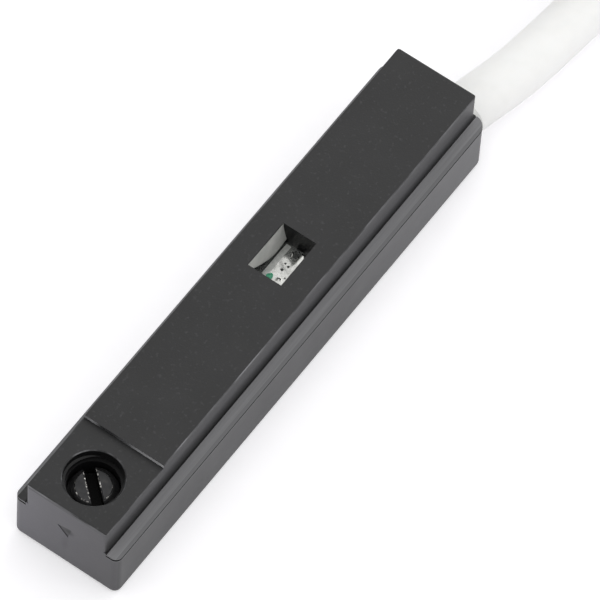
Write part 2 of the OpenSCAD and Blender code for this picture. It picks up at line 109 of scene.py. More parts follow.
class ScrewSettings(bpy.types.PropertyGroup):
    """The slotted set screw and the thread in its bore."""

    pitch: bpy.props.FloatProperty(
        name="Pitch", description="Rise of the thread in one turn, in mm", default=0.5, min=0.2)
    thread_depth: bpy.props.FloatProperty(
        name="Thread depth", description="Depth of the thread on the radius, in mm", default=0.27, min=0.05)
    face_d: bpy.props.FloatProperty(
        name="Face diameter", description="Diameter of the slotted face inside its chamfer, in mm",
        default=2.16, min=0.5)
    slot_width: bpy.props.FloatProperty(
        name="Slot width", description="Width of the driver slot, in mm", default=0.7, min=0.1)
    slot_depth: bpy.props.FloatProperty(
        name="Slot depth", description="Depth of the driver slot, in mm", default=0.9, min=0.1)
    slot_angle: bpy.props.FloatProperty(
        name="Slot angle", description="Direction of the slot from the long axis", default=radians(48),
        subtype="ANGLE")
    bore_d: bpy.props.FloatProperty(
        name="Bore diameter", description="Diameter of the bore, in mm", default=3.08, min=1)
    mouth_d: bpy.props.FloatProperty(
        name="Mouth diameter", description="Diameter of the bore's widened mouth below its chamfer, in mm",
        default=3.52, min=1)
    recess: bpy.props.FloatProperty(
        name="Recess", description="Depth of the screw's face below the pad, in mm", default=0.9, min=0)


class LampSettings(bpy.types.PropertyGroup):
    """The chip lamp in the window and the clear filling over it."""

    mark_colour: bpy.props.StringProperty(
        name="Mark colour", description="Colour of the polarity mark, as sRGB hex", default="#2cc892")
    mark_size: bpy.props.FloatProperty(
        name="Mark size", description="Width of the polarity mark, in mm", default=0.42, min=0.1)
    meniscus: bpy.props.FloatProperty(
        name="Meniscus", description="Rise of the clear filling at the walls, in mm", default=0.12, min=0)
    level: bpy.props.FloatProperty(
        name="Level", description="Height of the clear filling above the base, in mm", default=4.35, min=1)
    clearness: bpy.props.FloatProperty(
        name="Clearness", description="Share of the light that goes straight through the filling",
        default=0.88, min=0, max=1, subtype="FACTOR")
    film_colour: bpy.props.StringProperty(
        name="Film colour", description="Colour of the milky film on the well's wall, as sRGB hex",
        default="#c4c5c1")
    frame_edge: bpy.props.FloatProperty(
        name="Frame edge", description="Left edge of the lamp's silvered frame from the middle, in mm",
        default=0.84)
    strip_w: bpy.props.FloatProperty(
        name="Strip width", description="Width of the dull tinned strip along the frame's left edge, in mm",
        default=0.34, min=0)


class LeadSettings(bpy.types.PropertyGroup):
    """The two-core lead, its hank and its loose cores."""

    length: bpy.props.FloatProperty(
        name="Length", description="Length of the lead from the body to its cut end, in mm",
        default=500, min=100)
    diameter: bpy.props.FloatProperty(
        name="Diameter", description="Outside diameter of the sheath, in mm",
        default=in_mm(SHEATH_HIGH[2] - SHEATH_LOW[2]), min=1)
    core_d: bpy.props.FloatProperty(
        name="Core diameter", description="Diameter of each insulated core, in mm", default=1.1, min=0.5)
    core_pitch: bpy.props.FloatProperty(
        name="Core spacing", description="Distance between the middles of the cores, in mm",
        default=1.2, min=0.5)
    fold_r: bpy.props.FloatProperty(
        name="Fold radius", description="Bend radius of the hank's folds, in mm", default=9.6, min=9.6)
    turns: bpy.props.IntProperty(
        name="Turns", description="Turns of the hank laid on each other", default=3, min=1)
    sheath_colour: bpy.props.StringProperty(
        name="Sheath colour", description="Colour of the vinyl sheath, as sRGB hex", default="#f7f7f5")
    brown_colour: bpy.props.StringProperty(
        name="Brown colour", description="Colour of the first core, as sRGB hex", default="#6a3a20")
    blue_colour: bpy.props.StringProperty(
        name="Blue colour", description="Colour of the second core, as sRGB hex", default="#1f58b0")


class StageSettings(bpy.types.PropertyGroup):
    """The camera, the floor and the light."""

    azimuth: bpy.props.FloatProperty(
        name="Azimuth", description="Camera's direction round the part",
        default=radians(-58.4476), subtype="ANGLE")
    elevation: bpy.props.FloatProperty(
        name="Elevation", description="Camera's height above the horizon",
        default=radians(58.8667), subtype="ANGLE")
    roll: bpy.props.FloatProperty(
        name="Roll", description="Camera's turn about its own axis", default=radians(4.5627), subtype="ANGLE")
    distance: bpy.props.FloatProperty(
        name="Distance", description="Distance from the camera to its target, in mm", default=442.2449, min=50)
    target: bpy.props.FloatVectorProperty(
        name="Target", description="Point that the camera looks at, in mm",
        default=(3.8802, -0.5969, 0), size=3)
    lens: bpy.props.FloatProperty(
        name="Lens", description="Focal length on a 36 mm wide sensor, in mm", default=464.043, min=10)
    sky: bpy.props.FloatProperty(
        name="Sky", description="Level of the even studio light", default=0.88, min=0)
    key: bpy.props.FloatProperty(
        name="Key light", description="Power of the large lamp behind the part, in W", default=1.0, min=0)
    floor_lift: bpy.props.FloatProperty(
        name="Floor lift", description="Added brightness of the floor where it is seen or reflected",
        default=0.38, min=0)


# Nodes and meshes


def linear(colour):
    """An sRGB hex colour as linear RGBA."""
    parts = [int(colour[i:i + 2], 16)/255 for i in (1, 3, 5)]
    return tuple(c/12.92 if c <= 0.04045 else ((c + 0.055)/1.055)**2.4 for c in parts) + (1.0,)


def set_inputs(tree, node, inputs):
    """Sets a node's inputs, or links them where the value is another node's output."""
    for name, value in inputs.items():
        if isinstance(value, bpy.types.NodeSocket):
            tree.links.new(value, node.inputs[name])
        else:
            node.inputs[name].default_value = value


def add_node(tree, kind, inputs=None, stops=(), **settings):
    """Adds a node with its settings; sets or links its inputs, and a ramp's stops of place and sRGB hex."""
    made = tree.nodes.new(kind)
    for name, value in settings.items():
        setattr(made, name, value)
    set_inputs(tree, made, inputs or {})
    for i, (place, colour) in enumerate(stops):
        points = made.color_ramp.elements
        point = points[i] if i < len(points) else points.new(place)
        point.position, point.color = place, linear(colour)
    return made


def new_finish(name):
    """An empty node material: the material, its tree, its shader and the object coordinates."""
    finish = bpy.data.materials.new(name)
    finish.use_nodes = True
    tree = finish.node_tree
    tree.nodes.clear()
    shader = add_node(tree, "ShaderNodeBsdfPrincipled")
    add_node(tree, "ShaderNodeOutputMaterial", {"Surface": shader.outputs["BSDF"]})
    place = add_node(tree, "ShaderNodeTexCoord").outputs["Object"]
    return finish, tree, shader, place


def new_piece(name, verts, faces, finishes, smooth=True, kinds=None):
    """A mesh piece at the frame's origin with its finishes; kinds gives each face's finish by number."""
    mesh = bpy.data.meshes.new(name)
    mesh.from_pydata([tuple(v) for v in verts], [], [tuple(f) for f in faces])
    mesh.validate()
    for finish in finishes:
        mesh.materials.append(finish)
    for i, face in enumerate(mesh.polygons):
        face.use_smooth = smooth
        if kinds:
            face.material_index = kinds[i]
    piece = bpy.data.objects.new(name, mesh)
    bpy.context.scene.collection.objects.link(piece)
    return piece


def dress(finish, *names):
    """Gives nodes of the frame one finish."""
    for name in names:
        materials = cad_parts[name].data.materials
        materials.clear()
        materials.append(finish)


def join(verts, faces, more_verts, more_faces):
    """Adds one more shell's points and faces to a mesh in the making."""
    faces += [tuple(i + len(verts) for i in face) for face in more_faces]
    verts += more_verts


def ring_faces(rows, around, closed=True, start=0):
    """Four-sided faces between rows of points that each have the same number of points."""
    last = around if closed else around - 1
    return [(start + i*around + k, start + i*around + (k + 1) % around,
             start + (i + 1)*around + (k + 1) % around, start + (i + 1)*around + k)
            for i in range(rows - 1) for k in range(last)]


def swept(points, outline, twist=0.0):
    """Points and faces of a closed tube: an outline of (side, up) points carried along a route."""
    verts, around = [], len(outline)
    for i, p in enumerate(points):
        before, after = points[max(i - 1, 0)], points[min(i + 1, len(points) - 1)]
        heading = (Vector(after) - Vector(before)).normalized()
        side = heading.cross(Vector((0, 0, 1))).normalized()
        up = side.cross(heading)
        turn = twist*i/(len(points) - 1)
        for s, u in outline:
            a, b = s*cos(turn) - u*sin(turn), s*sin(turn) + u*cos(turn)
            verts.append(Vector(p) + side*a + up*b)
    faces = ring_faces(len(points), around)
    faces.append(tuple(range(around)))
    faces.append(tuple(range(len(verts) - 1, len(verts) - 1 - around, -1)))
    return verts, faces


def smoothstep(t):
    """A soft step from 0 to 1."""
    t = min(max(t, 0.0), 1.0)
    return t*t*(3 - 2*t)


# Finishes


def moulded_pbt(settings, screw):
    """Glass-filled PBT, moulded in a spark-eroded tool: near-black satin skin with a fine grain.

    The eye sees an even charcoal top; flanks and front end drawn lighter as a painted reflection of the pale
    floor;
    painted light on the upper part of the land's wall and painted shade down in its groove; a painted highlight
    on the right shoulder's top and on the pad's step; thin broken light lines along edges, partly rubbed and
    partly painted highlight; painted shade along the front end's edges, in the parting groove, in the bore and on
    the window's far wall, with a band of painted light round the parting groove; and a dull smear at the gate
    mark."""
    finish, tree, shader, place = new_finish("pbt_moulded_black")
    axes = add_node(tree, "ShaderNodeSeparateXYZ", {0: place}).outputs
    along, across, up = axes["X"], axes["Y"], axes["Z"]
    normal = add_node(tree, "ShaderNodeNewGeometry").outputs["Normal"]
    facing = add_node(tree, "ShaderNodeSeparateXYZ", {0: normal}).outputs
    outward = add_node(tree, "ShaderNodeMath", {0: across}, operation="ABSOLUTE").outputs[0]
    sideways = add_node(tree, "ShaderNodeMath", {0: facing["Y"]}, operation="ABSOLUTE").outputs[0]
    clouds = add_node(tree, "ShaderNodeTexNoise", {
        "Vector": place, "Scale": 1/(2.6*MM), "Detail": 3.0, "Roughness": 0.6}).outputs["Fac"]
    skin = add_node(tree, "ShaderNodeValToRGB", {"Fac": clouds}, stops=(
        (0.3, "#101011"), (0.5, settings.colour), (0.72, "#1a1a1b"))).outputs["Color"]
    flecks = add_node(tree, "ShaderNodeTexNoise", {
        "Vector": place, "Scale": 1/(0.24*MM), "Detail": 2.0}).outputs["Fac"]
    dust = add_node(tree, "ShaderNodeMapRange", {
        "Value": flecks, "From Min": 0.6, "From Max": 0.78, "To Max": 0.55}).outputs["Result"]
    skin = add_node(tree, "ShaderNodeMix", {
        "Factor": dust, 6: skin, 7: linear("#39393b")}, data_type="RGBA").outputs[2]
    # Painted highlight on the right shoulder's top, in streaks along the shoulders, 0.12 mm wide and 4 mm long
    stretched = add_node(tree, "ShaderNodeMapping", {
        "Vector": place, "Scale": (1/(4*MM), 1/(0.12*MM), 1/(0.12*MM))}).outputs["Vector"]
    streaks = add_node(tree, "ShaderNodeTexNoise", {
        "Vector": stretched, "Scale": 1.0, "Detail": 2.0}).outputs["Fac"]
    rubbed = add_node(tree, "ShaderNodeValToRGB", {"Fac": streaks}, stops=(
        (0.3, "#717173"), (0.5, settings.shoulder_highlight_colour), (0.7, "#7b7b7d"))).outputs["Color"]
    # Thin broken light lines on edges: partly rubbed plastic, partly painted highlight
    scuffs = add_node(tree, "ShaderNodeTexNoise", {
        "Vector": place, "Scale": 1/(2.4*MM), "Detail": 4.0}).outputs["Fac"]
    worn = add_node(tree, "ShaderNodeValToRGB", {"Fac": scuffs}, stops=(
        (0.36, "#262628"), (0.5, settings.edge_wear_highlight_colour), (0.66, "#727275"))).outputs["Color"]
    # Painted light: the flanks are drawn lighter, most near the lead, and the front end lighter on its left,
    # as a painted reflection of the pale floor
    toward_lead = add_node(tree, "ShaderNodeMapRange", {
        "Value": along, "From Min": BODY_LOW[0], "From Max": BODY_HIGH[0]}).outputs["Result"]
    flank_painted_light = add_node(tree, "ShaderNodeValToRGB", {"Fac": toward_lead}, stops=(
        (0.0, "#323234"), (0.15, "#29292b"), (0.6, "#303032"), (1.0, "#525254"))).outputs["Color"]
    lean = add_node(tree, "ShaderNodeMapRange", {
        "Value": across, "From Min": BODY_LOW[1], "From Max": BODY_HIGH[1]}).outputs["Result"]
    nose = add_node(tree, "ShaderNodeValToRGB", {"Fac": lean}, stops=(
        (0.0, "#3b3a3d"), (1.0, "#5a595f"))).outputs["Color"]
    # Painted light and shade on the land's wall: lighter on its upper part and darker down in the groove at its
    # foot, the lighter part reaching deeper down towards the lead
    foot, half = settings.foot*MM, settings.land_w*MM/2
    rise = add_node(tree, "ShaderNodeMapRange", {
        "Value": up, "From Min": foot, "From Max": BODY_HIGH[2], "To Min": -0.15, "To Max": 0.85})
    blended = add_node(tree, "ShaderNodeMath", {
        0: toward_lead, 1: 0.3, 2: rise.outputs["Result"]}, operation="MULTIPLY_ADD").outputs[0]
    wall = add_node(tree, "ShaderNodeValToRGB", {"Fac": blended}, stops=(
        (0.1, "#1c1c1d"), (0.3, "#2b2b2d"), (0.5, settings.wall_shading_colour), (0.68, "#373739"),
        (1.0, "#353537"))).outputs["Color"]
    # Painted highlight on the pad's step, bright on its near half and at its far end
    step = add_node(tree, "ShaderNodeValToRGB", {"Fac": lean}, stops=(
        (0.12, "#a2a2a4"), (0.36, "#9a9a9c"), (0.47, "#5c5c5e"), (0.6, "#303032"), (0.72, "#2c2c2e"),
        (0.8, "#8e8e90"), (0.88, "#6c6c6e"))).outputs["Color"]
    # Painted highlight on the rim of the screw bore, broken into pieces
    rim_highlight_breaks = add_node(tree, "ShaderNodeTexNoise", {
        "Vector": place, "Scale": 1/(0.7*MM), "Detail": 3.0}).outputs["Fac"]
    rim = add_node(tree, "ShaderNodeValToRGB", {"Fac": rim_highlight_breaks}, stops=(
        (0.42, "#18181a"), (0.58, "#4a4a4c"), (0.7, "#707072"))).outputs["Color"]
    flat = add_node(tree, "ShaderNodeVectorMath", {
        0: place, 1: (1, 1, 0)}, operation="MULTIPLY").outputs[0]
    reach = add_node(tree, "ShaderNodeVectorMath", {
        0: flat, 1: (SCREW_X, 0, 0)}, operation="DISTANCE").outputs["Value"]
    low, high, front = -1.0, 1.0, BODY_LOW[0]
    pad, mouth = SCREW_HIGH[2] + screw.recess*MM, screw.mouth_d*MM/2
    seam, well = foot - settings.seam_drop*MM, FILL_HIGH[0]
    # A test is a value with the bounds it lies between
    forward, to_side = (facing["X"], -2, -0.6), (sideways, 0.6, 2)
    nose_end, nose_skin = (along, low, front + 0.5*MM), (along, low, front + 0.1*MM)
    gate_depth, gate_floor = (along, low, front + 0.05*MM), (along, front + 0.012*MM, front + 0.05*MM)
    gate_width, beside_land = (outward, low, 0.8*MM), (outward, half + 0.03*MM, high)
    # A zone is a colour, its dullness and the tests that bound it; a later zone lies over the earlier ones
    zones = (
        # Painted light: flanks and front end drawn lighter, as a painted reflection of the pale floor
        (flank_painted_light, 0, (to_side, (up, low, foot))),
        (nose, 0, (forward, nose_end)),
        # Painted shade along the front end's rounded bottom edge and in a band just below its top edge; on the
        # top edge a light line, partly rubbed and partly painted highlight
        (linear("#2a292c"), 0, (forward, nose_end, (up, low, 0.18*MM))),
        (linear("#39383b"), 0, (forward, nose_skin, (up, pad - 0.28*MM, high))),
        (worn, 0, (forward, nose_skin, (up, pad - 0.1*MM, high))),
        # Gate mark: walls of the recess, then its floor
        (linear("#4a494d"), 0, ((facing["X"], -0.6, 2), gate_depth, gate_width)),
        (linear("#2d2c2f"), 0.05, (forward, gate_floor, gate_width, (up, low, foot + 0.3*MM))),
        # Land's walls, shoulder, the land's long edges and the pad's step: painted light and shade on the walls,
        # a painted highlight on the right shoulder's top and on the step, and edge lines that are partly rubbed
        # and partly painted highlight
        (wall, 0, (to_side, (up, foot + 0.02*MM, high), (outward, half - 0.1*MM, high))),
        (rubbed, 0, ((across, low, -half - 0.05*MM), (facing["Z"], 0.6, 2), (up, foot - 0.3*MM, high))),
        (worn, 0, ((outward, half - 0.05*MM, high), (facing["Z"], 0.25, 2), (up, foot + 1.0*MM, high))),
        (step, 0, ((facing["X"], -2, -0.5), (along, front + 4*MM, front + 7*MM), (up, pad - 0.01*MM, high))),
        # Painted highlight on the rim of the screw bore; painted shade in the bore and on the far wall of the
        # window;
        # at the parting line a band of painted light round a dark core of painted shade
        (rim, 0, ((reach, mouth + 0.01*MM, mouth + 0.075*MM), (up, pad - 0.12*MM, pad - 0.001*MM))),
        # Painted shade in the bore: dark and dull
        (linear("#0e0e0f"), 0.5, ((reach, low, mouth + 0.01*MM), (up, low, pad - 0.06*MM))),
        # Painted shade on the window's far wall: black and dull
        (linear("#08080a"), 0.6, (forward, (along, well - 0.1*MM, well + 0.1*MM), (outward, low, half))),
        # Parting line: a band of painted light, then a dark core of painted shade in its groove
        (linear("#676769"), 0, ((up, seam - 0.15*MM, seam + 0.13*MM), beside_land)),
        (linear("#161617"), 0.35, ((up, seam - 0.11*MM, seam + 0.08*MM), beside_land)),
    )
    colour, dullness = skin, None
    for tone, dull, tests in zones:
        inside = None
        for value, over, under in tests:
            for limit, operation in ((over, "GREATER_THAN"), (under, "LESS_THAN")):
                test = add_node(tree, "ShaderNodeMath", {0: value, 1: limit}, operation=operation).outputs[0]
                inside = test if inside is None else add_node(
                    tree, "ShaderNodeMath", {0: inside, 1: test}, operation="MULTIPLY").outputs[0]
        colour = add_node(tree, "ShaderNodeMix", {
            "Factor": inside, 6: colour, 7: tone}, data_type="RGBA").outputs[2]
        if dull:
            part = add_node(tree, "ShaderNodeMath", {0: inside, 1: dull}, operation="MULTIPLY").outputs[0]
            dullness = part if dullness is None else add_node(
                tree, "ShaderNodeMath", {0: dullness, 1: part}, operation="MAXIMUM").outputs[0]
    # Dull smear where the moulding was broken off its runner, and a faint run below it: the place across and up
    # and the half sizes in mm, the turn between them, and the depth of tone
    smears = (((-0.24, 3.7), 0.0, (0.4, 0.36), 0.45), ((0.02, 2.3), 0.06, (0.3, 1.2), 0.14))
    for at, turn, size, depth in smears:
        spot = add_node(tree, "ShaderNodeMapping", {
            "Vector": place, "Location": (front, at[0]*MM, at[1]*MM), "Rotation": (turn, 0, 0),
            "Scale": (0.3*MM, size[0]*MM, size[1]*MM)}, vector_type="TEXTURE").outputs[0]
        ball = add_node(tree, "ShaderNodeTexGradient", {
            "Vector": spot}, gradient_type="SPHERICAL").outputs["Fac"]
        dull = add_node(tree, "ShaderNodeMapRange", {
            "Value": ball, "From Max": 0.7, "To Max": depth}).outputs["Result"]
        colour = add_node(tree, "ShaderNodeMix", {
            "Factor": dull, 6: colour, 7: linear("#0c0c0d")}, data_type="RGBA").outputs[2]
        dullness = add_node(tree, "ShaderNodeMath", {0: dullness, 1: dull}, operation="MAXIMUM").outputs[0]
    shine = add_node(tree, "ShaderNodeMapRange", {
        "Value": dullness, "To Min": 0.5, "To Max": 0.08}).outputs["Result"]
    # The real grain is about 0.03 mm wide; it is drawn coarser, so that it shows
    grain = add_node(tree, "ShaderNodeTexNoise", {
        "Vector": place, "Scale": 1/(settings.grain*MM), "Detail": 2.0}).outputs["Fac"]
    rough = add_node(tree, "ShaderNodeMapRange", {
        "Value": clouds, "To Min": settings.roughness - 0.05,
        "To Max": settings.roughness + 0.06}).outputs["Result"]
    bump = add_node(tree, "ShaderNodeBump", {"Height": grain, "Strength": 0.4, "Distance": 0.014*MM})
    set_inputs(tree, shader, {
        "Base Color": colour, "Specular IOR Level": shine, "Roughness": rough, "Normal": bump.outputs["Normal"],
        "IOR": 1.52})
    return finish


def black_oxide_steel():
    """Steel blackened by oxide: dark and half-gloss, with cloudy blotches and fine scratches."""
    finish, tree, shader, place = new_finish("steel_black_oxide")
    blotches = add_node(tree, "ShaderNodeTexNoise", {
        "Vector": place, "Scale": 1/(0.5*MM), "Detail": 4.0}).outputs["Fac"]
    colour = add_node(tree, "ShaderNodeValToRGB", {"Fac": blotches}, stops=(
        (0.3, "#303031"), (0.6, "#3c3c3d"), (0.8, "#4b4a49"))).outputs["Color"]
    scratches = add_node(tree, "ShaderNodeTexNoise", {
        "Vector": place, "Scale": 1/(0.06*MM), "Detail": 2.0}).outputs["Fac"]
    bump = add_node(tree, "ShaderNodeBump", {"Height": scratches, "Strength": 0.25, "Distance": 0.008*MM})
    rough = add_node(tree, "ShaderNodeMapRange", {"Value": blotches, "To Min": 0.38, "To Max": 0.55})
    set_inputs(tree, shader, {
        "Base Color": colour, "Roughness": rough.outputs["Result"], "Normal": bump.outputs["Normal"],
        "Metallic": 0.55})
    return finish


def worn_steel():
    """Bare steel where a driver has rubbed the oxide off: bright, broken glints along the slot's edges."""
    finish, tree, shader, place = new_finish("steel_worn_bright")
    flecks = add_node(tree, "ShaderNodeTexNoise", {
        "Vector": place, "Scale": 1/(0.16*MM), "Detail": 3.0}).outputs["Fac"]
    colour = add_node(tree, "ShaderNodeValToRGB", {"Fac": flecks}, stops=(
        (0.5, "#2b2b2c"), (0.6, "#8a8884"), (0.7, "#dcdad6"))).outputs["Color"]
    bump = add_node(tree, "ShaderNodeBump", {"Height": flecks, "Strength": 0.4, "Distance": 0.02*MM})
    set_inputs(tree, shader, {
        "Base Color": colour, "Normal": bump.outputs["Normal"], "Metallic": 1.0, "Roughness": 0.3})
    return finish


def slot_painted_shade():
    """Steel in the depth of the driver slot, drawn black and dull as painted shade."""
    return mottled("steel_slot_painted_shade", 0.2, ("#050505", "#090909", "#0e0e0e"), 0.7, shine=0.16)


def clear_epoxy(name, clearness):
    """Clear casting epoxy: glossy and faintly uneven, so that what lies under it is seen through a light veil."""
    finish, tree, shader, place = new_finish(name)
    waves = add_node(tree, "ShaderNodeTexNoise", {
        "Vector": place, "Scale": 1/(0.7*MM), "Detail": 1.0}).outputs["Fac"]
    bump = add_node(tree, "ShaderNodeBump", {"Height": waves, "Strength": 0.5, "Distance": 0.05*MM})
    tint = add_node(tree, "ShaderNodeValToRGB", {"Fac": waves}, stops=((0.35, "#c4ccc7"), (0.65, "#d3d7d3")))
    set_inputs(tree, shader, {
        "Base Color": tint.outputs["Color"], "Normal": bump.outputs["Normal"], "Alpha": 1 - clearness,
        "IOR": 1.5, "Roughness": 0.04})
    return finish


def mottled(name, size, tones, roughness, metallic=0.0, depth=0.006, ior=None, shine=0.5, clear=0.0):
    """A finish whose colour and roughness wander over patches of one size in mm, with a slight relief."""
    finish, tree, shader, place = new_finish(name)
    patches = add_node(tree, "ShaderNodeTexNoise", {
        "Vector": place, "Scale": 1/(size*MM), "Detail": 3.0}).outputs["Fac"]
    colour = add_node(tree, "ShaderNodeValToRGB", {"Fac": patches}, stops=zip((0.3, 0.5, 0.7), tones))
    rough = add_node(tree, "ShaderNodeMapRange", {
        "Value": patches, "To Min": roughness - 0.05, "To Max": roughness + 0.05})
    bump = add_node(tree, "ShaderNodeBump", {"Height": patches, "Strength": 0.3, "Distance": depth*MM})
    set_inputs(tree, shader, {
        "Base Color": colour.outputs["Color"], "Roughness": rough.outputs["Result"],
        "Normal": bump.outputs["Normal"], "Metallic": metallic, "Specular IOR Level": shine,
        "Transmission Weight": clear})
    if ior:
        shader.inputs["IOR"].default_value = ior
    return finish


def soft_vinyl(name, dark, colour, light):
    """Extruded soft vinyl: smooth, waxy half-gloss with a faint drag and light that goes in a little."""
    finish, tree, shader, place = new_finish(name)
    drag = add_node(tree, "ShaderNodeTexNoise", {
        "Vector": place, "Scale": 1/(0.9*MM), "Detail": 2.0}).outputs["Fac"]
    bump = add_node(tree, "ShaderNodeBump", {"Height": drag, "Strength": 0.1, "Distance": 0.01*MM})
    rough = add_node(tree, "ShaderNodeMapRange", {"Value": drag, "To Min": 0.42, "To Max": 0.56})
    tint = add_node(tree, "ShaderNodeValToRGB", {"Fac": drag}, stops=((0.3, dark), (0.5, colour), (0.7, light)))
    set_inputs(tree, shader, {
        "Base Color": tint.outputs["Color"], "Roughness": rough.outputs["Result"],
        "Normal": bump.outputs["Normal"], "IOR": 1.53, "Subsurface Weight": 0.15,
        "Subsurface Radius": (0.8*MM, 0.75*MM, 0.7*MM), "Subsurface Scale": 1.0})
    return finish


def hook_strap():
    """Woven nylon hook-and-loop strap: dull black with soft ribs 2.2 mm apart and a short fuzz."""
    finish, tree, shader, place = new_finish("nylon_woven_strap")
    # The wave repeats every 2*pi/20 of its own unit, so this scale sets the ribs 2*pi*0.35 mm apart
    ribs = add_node(tree, "ShaderNodeTexWave", {
        "Vector": place, "Scale": 1/(0.35*MM)/20, "Distortion": 1.5, "Detail": 2.0},
        bands_direction="X").outputs["Fac"]
    fuzz = add_node(tree, "ShaderNodeTexNoise", {
        "Vector": place, "Scale": 1/(0.12*MM), "Detail": 3.0}).outputs["Fac"]
    bump = add_node(tree, "ShaderNodeBump", {"Height": ribs, "Strength": 0.5, "Distance": 0.06*MM})
    blended = add_node(tree, "ShaderNodeBump", {
        "Height": fuzz, "Strength": 0.4, "Distance": 0.03*MM, "Normal": bump.outputs["Normal"]})
    colour = add_node(tree, "ShaderNodeValToRGB", {"Fac": fuzz}, stops=(
        (0.3, "#1f1f21"), (0.6, "#2e2e30"), (0.8, "#3a3a3c")))
    set_inputs(tree, shader, {
        "Base Color": colour.outputs["Color"], "Normal": blended.outputs["Normal"], "Roughness": 0.85,
        "Sheen Weight": 0.3})
    return finish


# Stage


class SENSOR_OT_stage(bpy.types.Operator):
    """Camera at the photograph's place, white floor that keeps the shadow, and soft studio light"""

    bl_idname = "sensor.stage"
    bl_label = "Stage"

    def execute(self, context):
        settings = context.scene.sensor_stage
        self.camera(context, settings)
        self.floor(settings)
        self.light(context, settings)
        context.scene.view_settings.view_transform = "Standard"
        return {"FINISHED"}

    def camera(self, context, settings):
        """A long lens at the fitted direction and distance, turned about its own axis."""
        a, e, r = settings.azimuth, settings.elevation, settings.roll
        back = Vector((sin(a)*cos(e), -cos(a)*cos(e), sin(e)))
        level = Vector((cos(a), sin(a), 0))
        over = back.cross(level)
        right = level*cos(r) + over*sin(r)
        up = over*cos(r) - level*sin(r)
        data = bpy.data.cameras.new("camera")
        data.sensor_width = 36
        data.lens = settings.lens
        data.clip_start = 0.01
        data.clip_end = 20
        camera = bpy.data.objects.new("camera", data)
        camera.matrix_world = Matrix((right, up, back)).transposed().to_4x4()
        camera.location = Vector(settings.target)*MM + back*settings.distance*MM
        context.scene.collection.objects.link(camera)
        context.scene.camera = camera

    def floor(self, settings):
        """Pale matte paper; where it is seen directly or in a reflection it is lifted to white."""
        finish, tree, shader, place = new_finish("paper_white_matte")
        fibres = add_node(tree, "ShaderNodeTexNoise", {"Vector": place, "Scale": 1/(1.5*MM)}).outputs["Fac"]
        paper = add_node(tree, "ShaderNodeValToRGB", {"Fac": fibres}, stops=(
            (0.3, "#e7e6e9"), (0.7, "#e9e8eb"))).outputs["Color"]
        matte = add_node(tree, "ShaderNodeBsdfDiffuse", {"Color": paper})
        path = add_node(tree, "ShaderNodeLightPath")
        seen = add_node(tree, "ShaderNodeMath", {
            0: path.outputs["Is Camera Ray"], 1: path.outputs["Is Glossy Ray"]}, operation="MAXIMUM").outputs[0]
        seen = add_node(tree, "ShaderNodeMath", {
            0: seen, 1: path.outputs["Is Transmission Ray"]}, operation="MAXIMUM").outputs[0]
        lift = add_node(tree, "ShaderNodeMath", {
            0: seen, 1: settings.floor_lift}, operation="MULTIPLY").outputs[0]
        glow = add_node(tree, "ShaderNodeEmission", {"Color": (1, 1, 1, 1), "Strength": lift})
        both = add_node(tree, "ShaderNodeAddShader", {0: matte.outputs[0], 1: glow.outputs[0]})
        out = next(n for n in tree.nodes if n.type == "OUTPUT_MATERIAL")
        tree.links.new(both.outputs[0], out.inputs["Surface"])
        tree.nodes.remove(shader)
        edge, low = 3.0, -0.01*MM
        corners = [(-edge, -edge, low), (edge, -edge, low), (edge, edge, low), (-edge, edge, low)]
        floor = new_piece("floor", corners, [(0, 1, 2, 3)], [finish], smooth=False)

    def light(self, context, settings):
        """An even bright room, a large lamp high behind the lead for the faint shadow in front, and a fill."""
        world = bpy.data.worlds.new("studio")
        context.scene.world = world
        world.use_nodes = True
        tree = world.node_tree
        tree.nodes.clear()
        path = add_node(tree, "ShaderNodeLightPath")
        room = add_node(tree, "ShaderNodeBackground", {"Color": linear("#ffffff"), "Strength": settings.sky})
        white = add_node(tree, "ShaderNodeBackground", {"Color": (1, 1, 1, 1), "Strength": 1.0})
        shown = add_node(tree, "ShaderNodeMixShader", {
            0: path.outputs["Is Camera Ray"], 1: room.outputs[0], 2: white.outputs[0]})
        add_node(tree, "ShaderNodeOutputWorld", {"Surface": shown.outputs[0]})
        for name, at, size, power in (
                ("key", (0.60, 0.06, 0.36), 0.45, settings.key),
                ("side", (0.10, -0.50, 0.40), 0.50, 0.45*settings.key)):
            data = bpy.data.lights.new(name, "AREA")
            data.shape = "SQUARE"
            data.size = size
            data.energy = power
            lamp = bpy.data.objects.new(name, data)
            lamp.location = at
            lamp.rotation_euler = (Vector((0, 0, 0)) - Vector(at)).to_track_quat("-Z", "Y").to_euler()
            context.scene.collection.objects.link(lamp)


# Lead


